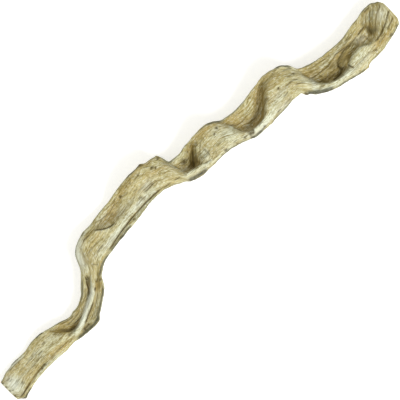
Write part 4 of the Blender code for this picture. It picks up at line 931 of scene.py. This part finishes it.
def fine_surfaces():
    """Upper and lower face as grids of points, the place along and across the fibres, and the tones."""
    skin = Skin()
    lengths = np.linspace(RIGHT_EDGE[0][0], RIGHT_EDGE[-1][0], FINE_LENGTH_STEPS + 1)
    across = spread_widths(skin, lengths)
    side_x, side_y, wide = plan(lengths, np.array([0.0, 1.0]))
    wide = wide[:, :1] + 0 * across
    x = side_x[:, :1] + (side_x[:, 1:] - side_x[:, :1]) * across
    y = side_y[:, :1] + (side_y[:, 1:] - side_y[:, :1]) * across
    from_right, from_left = across * wide, (1 - across) * wide
    from_edge = np.minimum(from_right, from_left)
    thick = thickness(x, across, wide)
    height_map = heights_around(skin)

    top = skin(x, y) + grain(x, across) * ease(from_edge / 3)
    low = np.minimum(underside(x, y, thick, height_map), top - KEPT_THICKNESS * thick)
    top = top + LIFT
    low = -soft_minimum(-low - LIFT, -CLEARANCE, 1.0)
    for rise, reach, points in FILLS:
        near, gap, fade, _ = line_gap(x, y, points, 2.5 * reach)
        top[near] += rise * (0.4 + 0.6 * fade) * np.exp(-(gap / reach) ** 2)
    y = y + edge_moves(x, from_right, RIGHT_STEPS) + edge_moves(x, from_left, LEFT_STEPS)
    top_x, top_y = x.copy(), y.copy()
    undercut(top_x, top_y, top)

    # The fibres keep their spacing on steep walls.
    flat = np.hypot(np.diff(top_x, axis=1), np.diff(top_y, axis=1))
    girth = girth_along(np.hypot(flat, WALL_FIBRES * np.diff(top, axis=1)))
    along, sideways = fibre_place(x, y, blurred(girth / girth[:, -1:], 2), wide)

    inner = ease(from_edge / 2.0)
    relief, cracks = wood_relief(along, sideways, UPPER_SEED)
    below, below_cracks = wood_relief(along, USUAL_WIDTH * across, LOWER_SEED)
    tones = {name: np.zeros(x.shape) for name in TONES}
    tones["cracks_and_shade"] = SHORT_CRACK_DARKNESS * cracks
    marked(top_x, top_y, top, tones)
    top = top + relief * inner
    low = low + LOWER_RELIEF * below * inner
    for foot_x, foot_y in FEET:
        far = np.hypot(x - foot_x, y - foot_y)
        bowl = FOOT_SINK * ((far / FOOT_FLAT) ** 2 - 1) + FOOT_RISE * (far / FOOT_REACH) ** 4
        low = soft_minimum(low, bowl, 1.2)
    top = np.maximum(top, low + LEAST_THICKNESS)

    chips = chip_moves(x, from_right, RIGHT_CHIPS) + chip_moves(x, from_left, LEFT_CHIPS)
    y = y + chips
    top_y = top_y + chips
    for side in (0, -1):
        top_x[:, side], top_y[:, side] = x[:, side], y[:, side]
    top, low = rounded(top, low, from_right, from_left)

    # Painted shade in the hollows, in brown and warm ochre, and a painted highlight on the crests.
    hollow = hollows(x, y, height_map)
    for name, sign, share in HOLLOW_TONES:
        tones[name] = tones[name] + share * np.maximum(sign * hollow, 0)
    # Painted shade along both edges, where the faces turn away, stronger in some stretches than in others.
    edge_shade_strength = 0.45 + 0.35 * strip_noise(x, 9, 97)
    tones["edge"] = edge_shade_strength * (np.exp(-(from_left / 1.3) ** 2) + np.exp(-(from_right / 1.2) ** 2))
    upper = {name: np.clip(value, 0, 1) for name, value in tones.items()}
    lower = {name: value + 0 * x for name, value in LOWER_TONES.items()}
    lower["cracks_and_shade"] = lower["cracks_and_shade"] * below_cracks
    lower["edge"] = upper["edge"]
    faces = [np.dstack([px - ORIGIN_X, py - ORIGIN_Y, pz])
             for px, py, pz in ((top_x, top_y, top), (x, y, low))]
    return faces, along, sideways, upper, lower


# Marks that keep the wood's pattern on the lower face and on the sawn ends apart from that on the upper one.
LOWER_PLACE = 40.0
SAWN_PLACE = 80.0
SAWN_PATTERN = 2.2
# Sawn ends: roughness and bulge in mm.
SAWN_ROUGHNESS = 0.14
SAWN_BULGE = 0.12


def quads(ids, flip):
    """Four-sided faces over a grid of point numbers."""
    a, b, c, d = ids[:-1, :-1], ids[1:, :-1], ids[1:, 1:], ids[:-1, 1:]
    order = (d, c, b, a) if flip else (a, b, c, d)
    return np.stack([part.ravel() for part in order], axis=1)


def vine_mesh():
    """Upper and lower face sewn along the two edges and closed at both ends by rough saw cuts."""
    surfaces, along, sideways, upper, lower = fine_surfaces()
    rows, columns = along.shape
    top_count, low_count = rows * columns, rows * (columns - 2)
    top_points = surfaces[0].reshape(-1, 3)
    low_points = surfaces[1][:, 1:-1].reshape(-1, 3)
    points = [top_points, low_points]
    top_ids = np.arange(top_count).reshape(rows, columns)
    low_ids = top_ids.copy()
    low_ids[:, 1:-1] = np.arange(low_count).reshape(rows, columns - 2) + top_count
    count = top_count + low_count

    places = [np.dstack([along, sideways, 0 * along]).reshape(-1, 3),
              np.dstack([along, sideways, 0 * along + LOWER_PLACE])[:, 1:-1].reshape(-1, 3)]
    fields = {name: [upper[name].ravel(), lower[name][:, 1:-1].ravel()] for name in upper}
    fields["under"] = [np.zeros(top_count), np.ones(low_count)]
    fields["sawn"] = [np.zeros(top_count), np.zeros(low_count)]

    faces = [quads(top_ids, False), quads(low_ids, True)]
    corners = []
    rough = np.random.RandomState(5)
    for end, outward in ((0, -1), (rows - 1, 1)):
        levels = [top_ids[end, 1:-1]]
        rim = top_points[top_ids[end, 1:-1]]
        floor = low_points[low_ids[end, 1:-1] - top_count]
        for k in range(CAP_ROWS):
            row = rim + (floor - rim) * (k + 1) / (CAP_ROWS + 1)
            row[:, 0] += SAWN_ROUGHNESS * rough.uniform(-1, 1, len(row)) + outward * SAWN_BULGE
            points.append(row)
            levels.append(np.arange(len(row)) + count)
            count += len(row)
            places.append(np.column_stack([row[:, 1:] * SAWN_PATTERN, np.full(len(row), SAWN_PLACE)]))
            for name, values in fields.items():
                values.append(np.full(len(row), 1.0 if name == "sawn" else 0.0))
        levels.append(low_ids[end, 1:-1])
        levels = np.array(levels)
        faces.append(quads(levels, end == 0))
        for side in (0, -1):
            for pair in zip(levels[:-1, side], levels[1:, side]):
                turned = pair[::-1] if (side == 0) == (end == 0) else pair
                corners.append((top_ids[end, side], *turned))

    mesh = bpy.data.meshes.new("vine_wood")
    all_faces = np.vstack(faces).tolist() + np.array(corners).tolist()
    mesh.from_pydata((np.vstack(points) * MM).tolist(), [], all_faces)
    mesh.polygons.foreach_set("use_smooth", [True] * len(mesh.polygons))
    for name, values in fields.items():
        layer = mesh.attributes.new(name, "FLOAT", "POINT")
        layer.data.foreach_set("value", np.concatenate(values).astype(np.float32))
    layer = mesh.attributes.new("fibre", "FLOAT_VECTOR", "POINT")
    layer.data.foreach_set("vector", np.vstack(places).astype(np.float32).ravel())
    mesh.validate()
    mesh.update()
    return mesh


class Nodes:
    """Short calls for making and joining shader nodes."""

    def __init__(self, material):
        material.use_nodes = True
        self.tree = material.node_tree
        self.shader = self.tree.nodes["Principled BSDF"]

    def add(self, kind, **settings):
        node = self.tree.nodes.new(kind)
        for name, value in settings.items():
            setattr(node, name, value)
        return node

    def fill(self, pairs):
        """Each socket gets its value, its colour or a link."""
        for socket, value in pairs:
            if isinstance(value, bpy.types.NodeSocket):
                self.tree.links.new(value, socket)
            else:
                socket.default_value = (*value, 1.0) if socket.type == "RGBA" else value

    def attribute(self, name, output="Fac"):
        return self.add("ShaderNodeAttribute", attribute_name=name).outputs[output]

    def noise(self, vector, scale, detail=4.0, roughness=0.55, distortion=0.0):
        """Noise over a vector that is first scaled along, across and through the fibres."""
        scaled = self.add("ShaderNodeVectorMath", operation="MULTIPLY")
        self.fill([(scaled.inputs[0], vector), (scaled.inputs[1], scale)])
        node = self.add("ShaderNodeTexNoise")
        values = (scaled.outputs[0], 1.0, detail, roughness, distortion)
        names = ("Vector", "Scale", "Detail", "Roughness", "Distortion")
        self.fill([(node.inputs[name], value) for name, value in zip(names, values)])
        return node.outputs["Fac"]

    def hairlines(self, vector, scale, width):
        """Thin lines where a stretched noise crosses its middle value."""
        noise = self.noise(vector, scale, 2.0, 0.5, 0.2)
        off = self.math("ABSOLUTE", self.math("SUBTRACT", noise, 0.5), 0.0)
        return self.span(off, 0.3 * width, width, 1.0, 0.0)

    def span(self, source, low, high, to_low=0.0, to_high=1.0):
        node = self.add("ShaderNodeMapRange", interpolation_type="SMOOTHSTEP")
        names = ("Value", "From Min", "From Max", "To Min", "To Max")
        values = (source, low, high, to_low, to_high)
        self.fill([(node.inputs[name], value) for name, value in zip(names, values)])
        return node.outputs["Result"]

    def math(self, operation, a, b):
        node = self.add("ShaderNodeMath", operation=operation)
        self.fill(zip(node.inputs, (a, b)))
        return node.outputs[0]

    def mix(self, share, a, b):
        node = self.add("ShaderNodeMix", data_type="RGBA", blend_type="MIX")
        self.fill([(node.inputs[0], share), (node.inputs[6], a), (node.inputs[7], b)])
        return node.outputs[2]


STRAW = (0.645, 0.60, 0.33)
TAN = (0.47, 0.37, 0.145)
PALE = (0.645, 0.68, 0.515)
CREAM = (0.71, 0.735, 0.62)
OLIVE = (0.29, 0.25, 0.085)
BROWN = (0.265, 0.178, 0.036)
UMBER = (0.185, 0.14, 0.034)
OCHRE = (0.54, 0.39, 0.135)
DARK = (0.058, 0.039, 0.006)
GREY = (0.28, 0.29, 0.19)
# Near black of the painted shade on the edges' steep sides and in shaded spots.
SHADE_DARK = (0.05, 0.052, 0.03)

# Noises of the wood: scale along, across and through the fibres, detail, roughness and distortion.
WOOD_NOISES = {
    "lanes": ((0.020, 0.24, 0.3), 3.0, 0.6, 0.3),
    "streaks": ((0.055, 0.62, 0.3), 4.0, 0.65, 0.3),
    "threads": ((0.16, 2.4, 0.3), 3.0, 0.65, 0.1),
    "clouds": ((0.045, 0.10, 0.3), 4.0, 0.6, 0.5),
    "mottle": ((0.22, 0.45, 0.3), 4.0, 0.7, 0.2),
    "specks": ((0.28, 0.9, 0.3), 3.0, 0.7),
    "grain": ((0.30, 0.95, 0.3), 2.0, 0.6),
    "gaps": ((0.05, 0.2, 0.9), 2.0),
}
HAIRLINES = [((0.022, 0.34, 0.3), 0.028), ((0.045, 0.62, 0.9), 0.03)]

# Layers of colour, from the first to the last: colour, mask, then the noise that breaks it up with its two
# values and the strength at each. A number in place of the noise is the strength by itself.
WOOD_LAYERS = [
    (STRAW, None, "lanes", 0.38, 0.62, 0.0, 1.0),
    (OLIVE, None, "clouds", 0.42, 0.68, 0.0, 0.5),
    (PALE, None, "streaks", 0.52, 0.72, 0.0, 0.55),
    # Pale wood and painted highlights.
    (PALE, "pale_and_highlight", "streaks", 0.3, 0.6, 0.6, 1.0),
    # Grey wood and painted shade.
    (GREY, "grey_and_shade", 0.7),
    # Ochre stains and painted warm shade.
    (OCHRE, "ochre_and_warm_shade", "streaks", 0.35, 0.65, 0.9, 0.3),
    # Brown stains and painted shade.
    (BROWN, "stain_and_shade", "streaks", 0.35, 0.65, 1.0, 0.55),
    (OLIVE, None, "streaks", 0.30, 0.52, 0.55, 0.0),
    (UMBER, None, "threads", 0.34, 0.56, 0.4, 0.0),
    (UMBER, None, "mottle", 0.32, 0.5, 0.3, 0.0),
    (CREAM, "clear", "mottle", 0.54, 0.7, 0.0, 0.22),
    (UMBER, None, "specks", 0.62, 0.71, 0.0, 0.7),
    (UMBER, None, "grain", 0.35, 0.46, 0.6, 0.0),
    (CREAM, "clear", "grain", 0.55, 0.66, 0.0, 0.55),
    (UMBER, "hairs", "gaps", 0.42, 0.58, 0.0, 0.9),
    # Painted highlights in cream.
    (CREAM, "cream_and_highlight", "threads", 0.35, 0.55, 0.5, 1.0),
    (GREY, "under", 0.35),
    # Painted shade along both edges.
    (GREY, "edge", 1.0),
    # Painted shade, near black.
    (SHADE_DARK, "dark_shade", "mottle", 0.35, 0.65, 1.0, 0.75),
    ("cut", "sawn", 1.0),
    # Dark cracks and pits, and painted shade in slits and creases.
    (DARK, "cracks_and_shade", "specks", 0.3, 0.55, 0.75, 1.0),
]
BUMP_STRENGTH = 0.6
BUMP_DISTANCE = 0.0004


def wood():
    material = bpy.data.materials.new("vine_wood")
    n = Nodes(material)
    fibre = n.attribute("fibre", "Vector")
    noises = {name: n.noise(fibre, *settings) for name, settings in WOOD_NOISES.items()}
    masks = {
        "clear": n.span(n.attribute("stain_and_shade"), 0.2, 1.0, 1.0, 0.2),
        "hairs": n.math("MAXIMUM", *(n.hairlines(fibre, scale, width) for scale, width in HAIRLINES)),
    }
    cut = n.mix(n.span(noises["specks"], 0.55, 0.75), CREAM, TAN)
    colour = TAN
    for over, mask, noise, *spread in WOOD_LAYERS:
        share = n.span(noises[noise], *spread) if spread else noise
        if mask:
            share = n.math("MULTIPLY", masks[mask] if mask in masks else n.attribute(mask), share)
        colour = n.mix(share, colour, cut if over == "cut" else over)

    height = n.math("ADD", n.math("MULTIPLY", noises["threads"], 0.5), noises["streaks"])
    height = n.math("ADD", height, n.math("MULTIPLY", noises["mottle"], 0.5))
    bump = n.add("ShaderNodeBump")
    shader = n.shader.inputs
    n.fill([
        (bump.inputs["Strength"], BUMP_STRENGTH),
        (bump.inputs["Distance"], BUMP_DISTANCE),
        (bump.inputs["Height"], height),
        (shader["Normal"], bump.outputs["Normal"]),
        (shader["Base Color"], colour),
        (shader["Roughness"], n.span(noises["threads"], 0.3, 0.7, 0.7, 0.9)),
        (shader["Specular IOR Level"], 0.25),
    ])
    return material


def placed(name, data):
    """A new object in the scene."""
    thing = bpy.data.objects.new(name, data)
    bpy.context.scene.collection.objects.link(thing)
    return thing


def build_vine():
    vine = placed("vine_wood", vine_mesh())
    vine.data.materials.append(wood())
    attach(vine, "root")
    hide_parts("liana_vine")


# Pale floor: side in metres, colour and its own faint glow, and how far it lies below the stem's feet.
FLOOR_SIZE = 60.0
FLOOR_COLOUR = (0.93, 0.93, 0.92, 1.0)
FLOOR_GLOW = 0.42
FLOOR_GAP = 0.0002


def build_floor():
    half = FLOOR_SIZE / 2
    mesh = bpy.data.meshes.new("floor")
    corners = [(-half, -half, 0), (half, -half, 0), (half, half, 0), (-half, half, 0)]
    mesh.from_pydata(corners, [], [(0, 1, 2, 3)])
    floor = placed("floor", mesh)
    material = bpy.data.materials.new("floor_white")
    material.use_nodes = True
    shader = material.node_tree.nodes["Principled BSDF"]
    shader.inputs["Base Color"].default_value = FLOOR_COLOUR
    shader.inputs["Roughness"].default_value = 0.9
    shader.inputs["Specular IOR Level"].default_value = 0.1
    shader.inputs["Emission Color"].default_value = (1, 1, 1, 1)
    shader.inputs["Emission Strength"].default_value = FLOOR_GLOW
    mesh.materials.append(material)
    floor.location.z = -FLOOR_GAP


# Soft lights: place in metres, size, power in watts. Then the even light from all round.
LIGHTS = [
    ((0.25, -1.35, 1.75), 0.9, 38.0),
    ((-0.9, 0.9, 1.9), 1.8, 6.0),
]
SKY_COLOUR = (1.0, 0.99, 0.95, 1.0)
SKY_STRENGTH = 0.6


def build_lights():
    world = bpy.data.worlds.new("studio")
    world.use_nodes = True
    back = world.node_tree.nodes["Background"]
    back.inputs["Color"].default_value = SKY_COLOUR
    back.inputs["Strength"].default_value = SKY_STRENGTH
    bpy.context.scene.world = world
    for k, (place, size, power) in enumerate(LIGHTS):
        data = bpy.data.lights.new("soft_%d" % k, "AREA")
        data.shape = "SQUARE"
        data.size = size
        data.energy = power
        lamp = placed("soft_%d" % k, data)
        lamp.location = place
        lamp.rotation_euler = (-Vector(place)).to_track_quat("-Z", "Y").to_euler()


# The picture's width in mm at the stem's middle height, and where its centre lies on the lines' x and y.
VIEW_WIDTH = 433.2
VIEW_CENTRE = (0.0, 0.0)
VIEW_HEIGHT = 18.0
CAMERA_DISTANCE = 4.0
SENSOR_WIDTH = 36.0
CLIP_END = 100.0
PICTURE_TURN = 45.0


def build_camera():
    data = bpy.data.cameras.new("camera")
    data.type = "PERSP"
    data.sensor_width = SENSOR_WIDTH
    data.lens = SENSOR_WIDTH * CAMERA_DISTANCE / (VIEW_WIDTH * MM)
    data.clip_end = CLIP_END
    camera = placed("camera", data)
    centre_x = (VIEW_CENTRE[0] - ORIGIN_X) * MM
    centre_y = (VIEW_CENTRE[1] - ORIGIN_Y) * MM
    camera.location = (centre_x, centre_y, VIEW_HEIGHT * MM + CAMERA_DISTANCE)
    camera.rotation_euler = (0.0, 0.0, math.radians(-PICTURE_TURN))
    bpy.context.scene.camera = camera


build_vine()
build_floor()
build_lights()
build_camera()
bpy.context.scene.view_settings.view_transform = "Standard"
